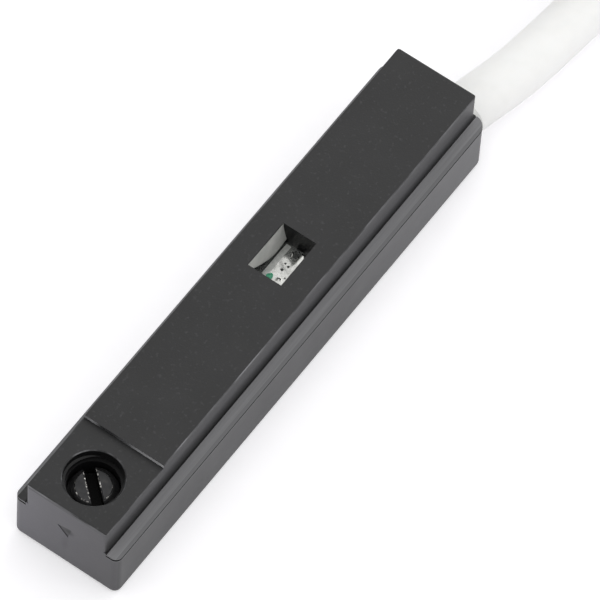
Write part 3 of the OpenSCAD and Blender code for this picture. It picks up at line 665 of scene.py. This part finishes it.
def lead_route(settings):
    """Middle line of the lead: out of the body, along the floor, then round the turns of the hank."""
    d, r = settings.diameter*MM, settings.fold_r*MM
    tail = BODY_HIGH[0]
    side = (SHEATH_LOW[1] + SHEATH_HIGH[1])/2
    height = (SHEATH_LOW[2] + SHEATH_HIGH[2])/2
    low = HANK_LOW[2] + d/2
    run0, run1 = HANK_LOW[0] + r + d/2, HANK_HIGH[0] - r - d/2
    near, mid = HANK_LOW[1] + d/2, (HANK_LOW[1] + HANK_HIGH[1])/2
    points = [Vector((tail + x*MM, side + y*MM, height)) for x, y in (
        (0, 0), (1, -0.21), (2, -0.45), (3.5, -0.83), (5, -1.15), (7.2, -1.46), (9.5, -1.7))]
    points += [Vector((tail + x*MM, near + y*MM, low)) for x, y in (
        (12.2, 0.83), (15, 0.5), (18.2, 0.19), (21.5, 0))]
    steps = 22
    # Degrees of a fold at which the lead starts to climb to the next turn, and over which it climbs
    climb_from, climb_over = 12, 132
    for turn in range(settings.turns):
        level = low + turn*d
        points += [Vector((run0 + (run1 - run0)*k/10, near, level)) for k in range(11)]
        points += [Vector((run1 + r*sin(pi*k/steps), mid - r*cos(pi*k/steps), level)) for k in range(1, steps)]
        points += [Vector((run1 + (run0 - run1)*k/10, mid + r, level)) for k in range(11)]
        if turn < settings.turns - 1:
            points += [Vector((run0 - r*sin(pi*k/steps), mid + r*cos(pi*k/steps),
                               level + d*smoothstep((180*k/steps - climb_from)/climb_over)))
                       for k in range(1, steps)]
    return points


def core_route(settings, side):
    """Middle line of a loose core: over the hank's fold, round into the hank and down to the floor."""
    d, r = settings.diameter*MM, settings.fold_r*MM
    run0 = HANK_LOW[0] + r + d/2
    top = HANK_HIGH[2] - d/2
    rest = settings.core_d*MM/2
    bend = r/2 + side*settings.core_pitch*MM/2
    middle = (HANK_LOW[1] + HANK_HIGH[1])/2 + r/2
    steps = [(0, 0, 0, top), (35, 0, 0, top), (70, 0, 0, top - 0.3*MM), (110, 0, 0, top - 1.4*MM),
             (150, 0, 0, top - 3*MM), (180, 0, 0, top - 4.3*MM), (180, 5, 0.4, 2*MM),
             (180, 10, 0.9, rest + 0.25*MM), (180, 17, 1.4, rest)]
    knots = [Vector((run0 - bend*sin(radians(a)) + x*MM, middle + bend*cos(radians(a)) - side*y*MM, z))
             for a, x, y, z in steps]
    points = []
    for i in range(len(knots) - 1):
        a, b, c = knots[max(i - 1, 0)], knots[i], knots[i + 1]
        e = knots[min(i + 2, len(knots) - 1)]
        for k in range(4):
            t = k/4
            points.append(0.5*(2*b + (c - a)*t + (2*a - 5*b + 4*c - e)*t*t + (3*b - a - 3*c + e)*t*t*t))
    return points + [knots[-1]]


def new_cord(name, points, diameter, finish):
    """A round cord: one open spline with a round section and closed ends."""
    data = bpy.data.curves.new(name, "CURVE")
    data.dimensions = "3D"
    data.bevel_depth = diameter/2
    data.bevel_resolution = 8
    data.use_fill_caps = True
    spline = data.splines.new("POLY")
    spline.points.add(len(points) - 1)
    for point, place in zip(spline.points, points):
        point.co = (*place, 1)
    spline.use_smooth = True
    data.materials.append(finish)
    cord = bpy.data.objects.new(name, data)
    bpy.context.scene.collection.objects.link(cord)
    return cord


class SENSOR_OT_lead(bpy.types.Operator):
    """White two-core lead from the end wall through its hank, with the sealing bead at its exit"""

    bl_idname = "sensor.lead"
    bl_label = "Lead and hank"

    def execute(self, context):
        settings = context.scene.sensor_lead
        vinyl = soft_vinyl("vinyl_white_sheath", "#f5f5f3", settings.sheath_colour, "#f8f8f6")
        points = lead_route(settings)
        lead = new_cord("lead", points, settings.diameter*MM, vinyl)
        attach(lead, BODY)
        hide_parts("cable_lead", "cable_hank")
        dress(vinyl, "sheath_end")
        bead = self.bead(points, settings)
        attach(bead, BODY)
        return {"FINISHED"}

    def bead(self, points, settings):
        """A low bead of milky sealing resin round the lead where it leaves the end wall."""
        # Cloudy epoxy: pale, half-gloss, with a soft rim
        resin = mottled("epoxy_milky_bead", 0.6, ("#c9cac8", "#d6d7d4", "#e0e1de"), 0.3, ior=1.5)
        r = settings.diameter*MM/2
        profile = [(-0.02, 0.30), (0.05, 0.24), (0.12, 0.18), (0.25, 0.12), (0.45, 0.09), (0.62, 0.075),
                   (0.69, 0.045), (0.71, -0.03)]
        around, verts = 48, []
        for x, rise in profile:
            centre = points[0] + (points[1] - points[0])*x
            for k in range(around):
                a = 2*pi*k/around
                wobble = 1 + 0.12*sin(3*a + 0.7) + 0.07*sin(5*a)
                reach = r + rise*MM*wobble
                verts.append(centre + Vector((0, reach*cos(a), reach*sin(a))))
        return new_piece("exit_bead", verts, ring_faces(len(profile), around), [resin])


class SENSOR_OT_loose_cores(bpy.types.Operator):
    """Brown and blue cores out of the cut sheath, with twisted and tinned ends"""

    bl_idname = "sensor.loose_cores"
    bl_label = "Loose cores"

    def execute(self, context):
        settings = context.scene.sensor_lead
        # Dipped tin: bright, with the strands' ridges still showing
        tin = mottled("tin_dipped_strands", 0.35, ("#b9bab9", "#cfd0cf", "#e2e2e0"), 0.28, metallic=1.0)
        cores = []
        for name, side, node, tones in (
                ("loose_core_brown", 1, "tail_brown", ("#5d3119", settings.brown_colour, "#774628")),
                ("loose_core_blue", -1, "tail_blue", ("#194b9c", settings.blue_colour, "#2c66bd"))):
            shade = name.split("_")[-1]
            vinyl = soft_vinyl("vinyl_" + shade + "_core", *tones)
            points = core_route(settings, side)
            core = new_cord(name, points, settings.core_d*MM, vinyl)
            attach(core, BODY)
            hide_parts(node)
            dress(vinyl, "core_" + shade)
            length = sum((b - a).length for a, b in zip(points, points[1:]))
            cores.append((core, points, length))
        tips = self.tips([points[-1] for core, points, length in cores], tin)
        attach(tips, BODY)
        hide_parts("tinned_tips")
        return {"FINISHED"}

    def tips(self, ends, tin):
        """Seven strands twisted together and dipped in tin, one bundle on each core."""
        long = TIP_HIGH[0] - TIP_LOW[0]
        r = (TIP_HIGH[2] - TIP_LOW[2])/2
        verts, faces, outline = [], [], []
        rows, sides, turns = 40, 42, 2.2
        for k in range(sides):
            a = 2*pi*k/sides
            reach = r*(0.87 + 0.13*abs(cos(3.5*a)))
            outline.append((reach*cos(a), reach*sin(a)))
        for end in ends:
            route = [end + Vector((long*i/rows - 0.4*MM*(i == 0), 0, 0)) for i in range(rows + 1)]
            tip_verts, tip_faces = swept(route, outline, twist=2*pi*turns)
            for i in range(len(tip_verts) - sides, len(tip_verts)):
                tip_verts[i] = route[-1] + (tip_verts[i] - route[-1])*0.72
            join(verts, faces, tip_verts, tip_faces)
        return new_piece("tinned_ends", verts, faces, [tin])


class SENSOR_OT_hank_ties(bpy.types.Operator):
    """Two hook-and-loop straps that hold the hank's runs together"""

    bl_idname = "sensor.hank_ties"
    bl_label = "Hank straps"

    def execute(self, context):
        settings = context.scene.sensor_lead
        strap = hook_strap()
        thick = HANK_LOW[2] - TIE_LOW[2]
        r = settings.diameter*MM/2
        low, high = HANK_LOW[2] + r, HANK_HIGH[2] - r
        x0, x1 = TIE_LOW[0], TIE_HIGH[0]
        # The strap's section, along the run and away from its middle, and the way round the run
        section = [(x0 + 0.5*thick, r + 0.02*MM), (x0 + 0.15*thick, r + 0.15*thick),
                   (x0, r + 0.5*thick), (x0 + 0.15*thick, r + 0.85*thick),
                   (x0 + 0.5*thick, r + thick), (x1 - 0.5*thick, r + thick),
                   (x1 - 0.15*thick, r + 0.85*thick), (x1, r + 0.5*thick),
                   (x1 - 0.15*thick, r + 0.15*thick), (x1 - 0.5*thick, r + 0.02*MM)]
        loop = [(cos(pi*k/16), sin(pi*k/16), high) for k in range(17)]
        loop += [(cos(pi + pi*k/16), sin(pi + pi*k/16), low) for k in range(17)]
        around = len(section)
        last = (len(loop) - 1)*around
        for name, y, inward in (
                ("hank_strap_near", HANK_LOW[1] + r, 1), ("hank_strap_far", HANK_HIGH[1] - r, -1)):
            verts = [Vector((x, y + c*reach, z + s*reach)) for c, s, z in loop for x, reach in section]
            faces = ring_faces(len(loop), around)
            faces += [(last + k, last + (k + 1) % around, (k + 1) % around, k) for k in range(around)]
            join(verts, faces, *self.flap(y + inward*(r + thick), inward, x0, x1, low, high, thick))
            tie = new_piece(name, verts, faces, [strap])
            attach(tie, BODY)
            if inward == 1:
                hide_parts("hank_ties")
        return {"FINISHED"}

    def flap(self, y, inward, x0, x1, low, high, thick):
        """The strap's free end, lapped over the run's inner side and lifting a little at its tip."""
        outline = [(-0.5, 0.3), (-0.35, 0.05), (0.35, 0.05), (0.5, 0.3),
                   (0.5, 0.75), (0.35, 1), (-0.35, 1), (-0.5, 0.75)]
        verts, count = [], 14
        wide = x1 - x0 - 0.5*thick
        for i in range(count + 1):
            t = i/count
            z = low - 0.2*MM + (high - low - 0.6*MM)*t
            lift = 0.35*MM*smoothstep((t - 0.7)/0.3)
            narrow = 1 - 0.35*smoothstep((t - 0.88)/0.12)**2
            for across, out in outline:
                verts.append(Vector(((x0 + x1)/2 + across*wide*narrow,
                                     y + inward*(lift + (out - 0.15)*0.8*thick), z)))
        around = len(outline)
        faces = ring_faces(count + 1, around)
        faces += [tuple(range(around)), tuple(range(len(verts) - 1, len(verts) - 1 - around, -1))]
        return verts, faces


# Body


class SENSOR_OT_moulded_body(bpy.types.Operator):
    """Finishes of the moulded body and of the works inside it"""

    bl_idname = "sensor.moulded_body"
    bl_label = "Moulded body"

    def execute(self, context):
        dress(moulded_pbt(context.scene.sensor_housing, context.scene.sensor_screw), "housing")
        # Each row: name, patches in mm, tones, roughness, other settings, nodes
        finishes = (
            # Cast epoxy: black, glossy, with slow waves from setting
            ("epoxy_black_potting", 3.0, ("#141416", "#1a1a1c", "#202022"), 0.22, {"depth": 0.08, "ior": 1.55},
             ("potting",)),
            # Solder mask: white, half-gloss, over woven glass cloth
            ("solder_mask_white", 0.5, ("#d9dbd8", "#e4e6e3", "#eceeeb"), 0.35, {"ior": 1.5}, ("circuit_board",)),
            # Moulded chip epoxy: black and dull, with a fine bloom
            ("epoxy_black_chip", 0.2, ("#18181a", "#202023", "#29292c"), 0.5, {"ior": 1.55},
             ("resistor_body", "diode_body")),
            # Plated tin: pale grey metal, slightly cloudy
            ("tin_plated_ends", 0.2, ("#bdbdb9", "#d2d2ce", "#e4e4e0"), 0.25, {"metallic": 1.0},
             ("resistor_ends", "diode_tabs")),
            # Solder: bluish bright metal that set in small waves
            ("solder_bright", 0.3, ("#a9abad", "#c4c6c8", "#dcdee0"), 0.22, {"metallic": 1.0}, ("solder",)),
            # Drawn nickel iron: warm grey metal, half-bright
            ("nickel_iron_drawn", 0.15, ("#a39e92", "#b9b4a8", "#cbc6ba"), 0.3, {"metallic": 1.0},
             ("reed_wire_front", "reed_wire_rear", "reed_blade_front", "reed_blade_rear")),
            # Copper strands: reddish metal, darker between the wires
            ("copper_strands", 0.1, ("#a8683e", "#c98658", "#dd9d70"), 0.35, {"metallic": 1.0},
             ("bare_strands",)),
            # Flame-sealed glass: clear pale green, glossy
            ("glass_green_sealed", 0.8, ("#9cc4ac", "#a8d0b8", "#b4dac4"), 0.06, {"ior": 1.52, "clear": 0.85},
             ("reed_glass",)),
        )
        for name, size, tones, roughness, others, nodes in finishes:
            dress(mottled(name, size, tones, roughness, **others), *nodes)
        return {"FINISHED"}


class SENSOR_OT_set_screw(bpy.types.Operator):
    """Threaded set screw with its driver slot, and the thread in the bore above and below it"""

    bl_idname = "sensor.set_screw"
    bl_label = "Set screw"

    def execute(self, context):
        settings = context.scene.sensor_screw
        screw = self.screw(settings)
        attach(screw, "screw")
        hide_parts("set_screw")
        thread = self.bore_thread(settings)
        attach(thread, BODY)
        return {"FINISHED"}

    def screw(self, settings):
        """A turned and threaded pin; a driver slot with worn edges is cut into its face."""
        x, y, r = SCREW_X, SCREW_Y, (SCREW_HIGH[0] - SCREW_LOW[0])/2
        low, high = SCREW_LOW[2], SCREW_HIGH[2]
        pitch, depth, face = settings.pitch*MM, settings.thread_depth*MM, settings.face_d*MM/2
        around, rise = 64, pitch/12
        rows = int(round((high - low)/rise))
        verts = []
        for i in range(rows + 1):
            z = low + (high - low)*i/rows
            chamfer = min(r, face + (high - z), face + (z - low))
            for k in range(around):
                a = 2*pi*k/around
                phase = ((z - low)/pitch - a/(2*pi)) % 1
                crest = 1 - smoothstep(abs(phase - 0.5)/0.5*1.25 - 0.12)
                reach = min(r - depth*(1 - crest), chamfer)
                verts.append(Vector((x + reach*cos(a), y + reach*sin(a), z - (0.02*MM if i == rows else 0))))
        for k in range(around):
            a = 2*pi*k/around
            verts.append(Vector((x + (face - 0.05*MM)*cos(a), y + (face - 0.05*MM)*sin(a), high)))
        faces = ring_faces(rows + 2, around)
        kinds = [1 if i >= rows*around else 0 for i in range(len(faces))] + [0, 0]
        faces.append(tuple(range(around - 1, -1, -1)))
        faces.append(tuple(range((rows + 1)*around, (rows + 2)*around)))
        # The third finish is the slot's painted shade
        finishes = [black_oxide_steel(), worn_steel(), slot_painted_shade()]
        screw = new_piece("set_screw_threaded", verts, faces, finishes, smooth=False, kinds=kinds)
        self.cut_slot(screw, settings, Vector((x, y, high)), r)
        for face in screw.data.polygons:
            on_thread = face.material_index == 0 and face.center.z < high - 1.0*MM
            face.use_smooth = on_thread and abs(face.normal.z) < 0.9
        return screw

    def cut_slot(self, screw, settings, top, r):
        """Cuts the slot with a wedge-edged bar, whose edge faces leave the worn finish on the slot's rims."""
        half, depth, edge = settings.slot_width*MM/2, settings.slot_depth*MM, 0.03*MM
        profile = [(-half, -depth), (half, -depth), (half, -edge), (half + 3*edge, edge/3),
                   (-half - 3*edge, edge/3), (-half, -edge)]
        verts = [Vector((s*2*r, a, b)) for s in (-1, 1) for a, b in profile]
        n = len(profile)
        faces = [tuple(range(n)), tuple(range(2*n - 1, n - 1, -1))]
        faces += [(k, n + k, n + (k + 1) % n, (k + 1) % n) for k in range(n)]
        # The slot's floor and walls take the painted shade; the faces at its rims take the worn finish
        kinds = [2, 2] + [1 if k in (2, 4) else 2 for k in range(n)]
        cutter = new_piece("slot_cutter", verts, faces, list(screw.data.materials), smooth=False, kinds=kinds)
        cutter.matrix_world = Matrix.Translation(top) @ Matrix.Rotation(settings.slot_angle, 4, "Z")
        shaper = bmesh.new()
        shaper.from_mesh(cutter.data)
        bmesh.ops.recalc_face_normals(shaper, faces=shaper.faces)
        shaper.to_mesh(cutter.data)
        shaper.free()
        cut = screw.modifiers.new("slot", "BOOLEAN")
        cut.operation = "DIFFERENCE"
        cut.solver = "EXACT"
        cut.object = cutter
        bpy.context.view_layer.update()
        seen = screw.evaluated_get(bpy.context.evaluated_depsgraph_get())
        shaped = bpy.data.meshes.new_from_object(seen)
        screw.modifiers.clear()
        screw.data = shaped
        bpy.data.objects.remove(cutter)
        if len(shaped.polygons) < 500:
            raise RuntimeError("the slot could not be cut")

    def bore_thread(self, settings):
        """A helical ridge on the wall of the bore, where the screw leaves it bare."""
        x, y, pitch, depth = SCREW_X, SCREW_Y, settings.pitch*MM, 0.16*MM
        verts, faces = [], []
        pad = SCREW_HIGH[2] + settings.recess*MM
        for across, z0, z1 in ((settings.bore_d, 0.1*MM, SCREW_LOW[2] - 0.05*MM),
                               (settings.mouth_d, SCREW_HIGH[2] + 0.22*MM, pad - 0.2*MM)):
            wall = across*MM/2 + 0.02*MM
            turns = (z1 - z0)/pitch
            steps = int(48*turns)
            base = len(verts)
            for i in range(steps + 1):
                a = 2*pi*turns*i/steps
                z = z0 + (z1 - z0)*i/steps
                fade = smoothstep(min(i, steps - i)/10)
                for out, lift in ((0, -0.22), (-1, -0.05), (-1, 0.05), (0, 0.22)):
                    reach = wall + out*depth*fade
                    verts.append(Vector((x + reach*cos(a), y + reach*sin(a), z + lift*pitch)))
            faces += ring_faces(steps + 1, 4, start=base)
            faces += [(base, base + 1, base + 2, base + 3),
                      tuple(base + 4*steps + k for k in (3, 2, 1, 0))]
        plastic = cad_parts["housing"].data.materials[0]
        return new_piece("bore_thread", verts, faces, [plastic], smooth=False)


class SENSOR_OT_lamp(bpy.types.Operator):
    """Chip lamp in the window: its silvered frame with die, solder, bond wire and polarity mark"""

    bl_idname = "sensor.lamp"
    bl_label = "Chip lamp"

    def execute(self, context):
        settings = context.scene.sensor_lamp
        # Fired ceramic: white and fine, half-matte
        dress(mottled("ceramic_white_base", 0.25, ("#e3e3de", "#efefea", "#f6f6f2"), 0.4, ior=1.5), "lamp_base")
        # Plated silver: nearly white metal with small dents
        silver = mottled("silver_plated_ends", 0.18, ("#dededa", "#f4f4f0", "#fbfbf7"), 0.24, metallic=1.0,
                         depth=0.008)
        dress(silver, "lamp_ends")
        dress(clear_epoxy("epoxy_clear_lens", 0.5), "lamp_lens")
        plate = self.plate(settings, silver)
        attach(plate, BODY)
        return {"FINISHED"}

    def level(self, x, y):
        """Height of the stamped frame at a place in mm.

        It is slightly wavy, dished at the die and bent up at one corner, with a solder bump at each end."""
        dish = 0.03*exp(-((x - 2.95)**2 + y*y)/0.12)
        near = 0.07*exp(-((x - 2.03)**2 + (y + 0.2)**2)/0.010)
        far = 0.10*exp(-((x - 4.04)**2 + (y + 0.47)**2)/0.020)
        waves = 0.008*sin(5.1*x + 1)*sin(6.3*y) + 0.004*sin(9.7*x - 4*y)
        ramp = 0.15*max(0.0, x - 3.0)*smoothstep((-0.15 - y)/0.25)
        return LENS_TOP/MM + 0.04 + waves - dish + near + far + ramp

    def plate(self, settings, silver):
        """The silvered frame over a black sheet of painted shade deep in the well, with dark specks at the die
        and the green polarity mark.
        """
        # Dull black, almost without light: the sheet of painted shade under the frame, and the dark specks at the
        # die
        black_specks_and_shade = mottled("epoxy_black_specks_and_shade", 0.3, ("#08090a", "#0d0e0e", "#131414"), 0.4, ior=1.55)
        # Printed paint: clear green, half-gloss
        paint = mottled("paint_green_mark", 0.12, ("#22b583", settings.mark_colour, "#3ad4a0"), 0.35, ior=1.5)
        # Dull tin: pale and soft, with hardly a reflection
        dull_tin = mottled("tin_dull_strip", 0.22, ("#d6d7d3", "#e8e9e5", "#f6f6f2"), 0.4, metallic=0.2)
        x0, x1 = FILL_LOW[0]/MM + 0.01, FILL_HIGH[0]/MM - 0.01
        y0, y1 = FILL_LOW[1]/MM + 0.01, FILL_HIGH[1]/MM - 0.01
        base = LENS_TOP/MM + 0.005
        # A black sheet over the whole window, under the frame: painted shade deep in the well
        verts = [(x0, y0, base), (x1, y0, base), (x1, y1, base), (x0, y1, base)]
        faces, kinds = [(0, 1, 2, 3)], [1]
        n, m = 72, 40
        notch_x, notch_half = 3.72, 0.22
        for j in range(m + 1):
            for i in range(n + 1):
                x, y = x0 + (x1 - x0)*i/n, y0 + (settings.frame_edge - y0)*j/m
                verts.append((x, y, self.level(x, y)))
        grid = [(4 + j*(n + 1) + i, 5 + j*(n + 1) + i, 5 + (j + 1)*(n + 1) + i, 4 + (j + 1)*(n + 1) + i)
                for j in range(m) for i in range(n)]
        for f in grid:
            x = sum(verts[k][0] for k in f)/4
            y = sum(verts[k][1] for k in f)/4
            if not (x > notch_x and -notch_half < y < notch_half):
                faces.append(f)
                kinds.append(3 if y > settings.frame_edge - settings.strip_w else 0)
        # Dark specks, then the mark: place, radius and finish
        spots = (((3.18, 0.13), 0.07, 1), ((3.09, -0.13), 0.085, 1), ((2.72, 0.05), 0.1, 1),
                 ((2.35, -0.42), 0.05, 1), ((1.97, 0.36), settings.mark_size/2, 2))
        for at, r, kind in spots:
            start, sides = len(verts), 14
            for lift, wide in ((0.0, 1.0), (0.025, 0.85)):
                for k in range(sides):
                    a = 2*pi*k/sides
                    reach = r*wide*(1 + 0.12*sin(3*a + at[0]))
                    x, y = at[0] + reach*cos(a), at[1] + reach*sin(a)
                    verts.append((x, y, self.level(x, y) + lift - 0.005))
            faces += ring_faces(2, sides, start=start) + [tuple(range(start + sides, start + 2*sides))]
            kinds += [kind]*(sides + 1)
        bows = [k/12 for k in range(13)]
        wire = [Vector((3.55 + 0.5*t, 0.04 + 0.2*t*t, base + 0.04 + 0.9*t*(1 - t))) for t in bows]
        outline = [(0.035*cos(pi*k/4), 0.035*sin(pi*k/4)) for k in range(8)]
        wire_verts, wire_faces = swept(wire, outline)
        kinds += [0]*len(wire_faces)
        join(verts, faces, wire_verts, wire_faces)
        return new_piece("lamp_frame", [Vector(v)*MM for v in verts], faces, [silver, black_specks_and_shade, paint, dull_tin],
                         kinds=kinds)


class SENSOR_OT_clear_filling(bpy.types.Operator):
    """Clear resin in the light well, and the milky film it left where it was drawn up one wall"""

    bl_idname = "sensor.clear_filling"
    bl_label = "Clear filling"

    def execute(self, context):
        settings = context.scene.sensor_lamp
        resin = clear_epoxy("epoxy_clear_cast", settings.clearness)
        # Thin set epoxy: milky, half-gloss, softly uneven
        film = mottled("epoxy_milky_film", 0.8, ("#b9bbb7", settings.film_colour, "#cdcdc9"), 0.35, ior=1.5,
                       depth=0.03)
        low, high = Vector(FILL_LOW), Vector(FILL_HIGH)
        inset = 0.004*MM
        n, m = 36, 26
        verts = []
        for j in range(m + 1):
            for i in range(n + 1):
                u, v = i/n, j/m
                x = low.x + inset + (high.x - low.x - 2*inset)*(0.5 - 0.5*cos(pi*u))
                y = low.y + inset + (high.y - low.y - 2*inset)*(0.5 - 0.5*cos(pi*v))
                wall = min(x - low.x, high.x - x, y - low.y, high.y - y)
                rise = settings.meniscus*MM*max(0.0, 1 - wall/(0.55*MM))**2
                wave = 0.02*MM*sin(2.1*x/MM + 0.6)*sin(2.7*y/MM + 1.1)
                verts.append(Vector((x, y, settings.level*MM - 0.03*MM + rise + wave)))
        faces = [(j*(n + 1) + i, j*(n + 1) + i + 1, (j + 1)*(n + 1) + i + 1, (j + 1)*(n + 1) + i)
                 for j in range(m) for i in range(n)]
        kinds = [0]*len(faces)
        # The film: thin at the rim, thickest at its foot, which hangs over and turns back to the wall
        foot = ((0.0, 6.05), (0.05, 5.75), (0.12, 5.42), (0.24, 5.18), (0.37, 4.98), (0.49, 4.80), (0.65, 4.67),
                (0.8, 4.68), (1.0, 4.75))
        profile = [(t, 0.02 + 0.30*t**1.7) for t in [k/10 for k in range(11)]]
        profile += [(1.03, 0.30), (1.05, 0.2), (1.05, 0.0)]
        start, rim, across = len(verts), BODY_HIGH[2] - 0.03*MM, 40
        for k in range(across + 1):
            u = k/across
            (u0, z0), (u1, z1) = next(p for p in zip(foot, foot[1:]) if u <= p[1][0])
            z_foot = (z0 + (z1 - z0)*(u - u0)/(u1 - u0))*MM
            share = min(1.0, (rim - z_foot)/(1.5*MM))
            x = low.x + inset + (high.x - low.x - 2*inset)*u
            for t, thick in profile:
                verts.append(Vector((x, high.y - inset - thick*share*MM, rim + (z_foot - rim)*t)))
        strip = ring_faces(across + 1, len(profile), closed=False, start=start)
        faces += strip
        kinds += [1]*len(strip)
        filling = new_piece("clear_filling", verts, faces, [resin, film], kinds=kinds)
        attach(filling, BODY)
        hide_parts("clear_fill")
        return {"FINISHED"}


class SENSOR_PT_panel(bpy.types.Panel):
    """Lists the steps that dress the sensor, and their settings"""

    bl_idname = "SENSOR_PT_panel"
    bl_label = "Reed cylinder sensor"
    bl_space_type = "VIEW_3D"
    bl_region_type = "UI"
    bl_category = "Sensor"

    def draw(self, context):
        for step in STEPS:
            self.layout.operator(step.bl_idname)
        for name, group in GROUPS:
            box = self.layout.box()
            settings = getattr(context.scene, name)
            for key in group.__annotations__:
                box.prop(settings, key)


STEPS = (SENSOR_OT_stage, SENSOR_OT_lead, SENSOR_OT_loose_cores, SENSOR_OT_hank_ties, SENSOR_OT_moulded_body,
         SENSOR_OT_set_screw, SENSOR_OT_lamp, SENSOR_OT_clear_filling)
GROUPS = (("sensor_stage", StageSettings), ("sensor_lead", LeadSettings), ("sensor_housing", HousingSettings),
          ("sensor_screw", ScrewSettings), ("sensor_lamp", LampSettings))


def register():
    for name, group in GROUPS:
        bpy.utils.register_class(group)
        setattr(bpy.types.Scene, name, bpy.props.PointerProperty(type=group))
    for step in STEPS:
        bpy.utils.register_class(step)
    bpy.utils.register_class(SENSOR_PT_panel)


def unregister():
    bpy.utils.unregister_class(SENSOR_PT_panel)
    for step in reversed(STEPS):
        bpy.utils.unregister_class(step)
    for name, group in reversed(GROUPS):
        delattr(bpy.types.Scene, name)
        bpy.utils.unregister_class(group)


def main():
    register()
    for step in STEPS:
        section, name = step.bl_idname.split(".")
        getattr(getattr(bpy.ops, section), name)()


if __name__ == "__main__":
    main()
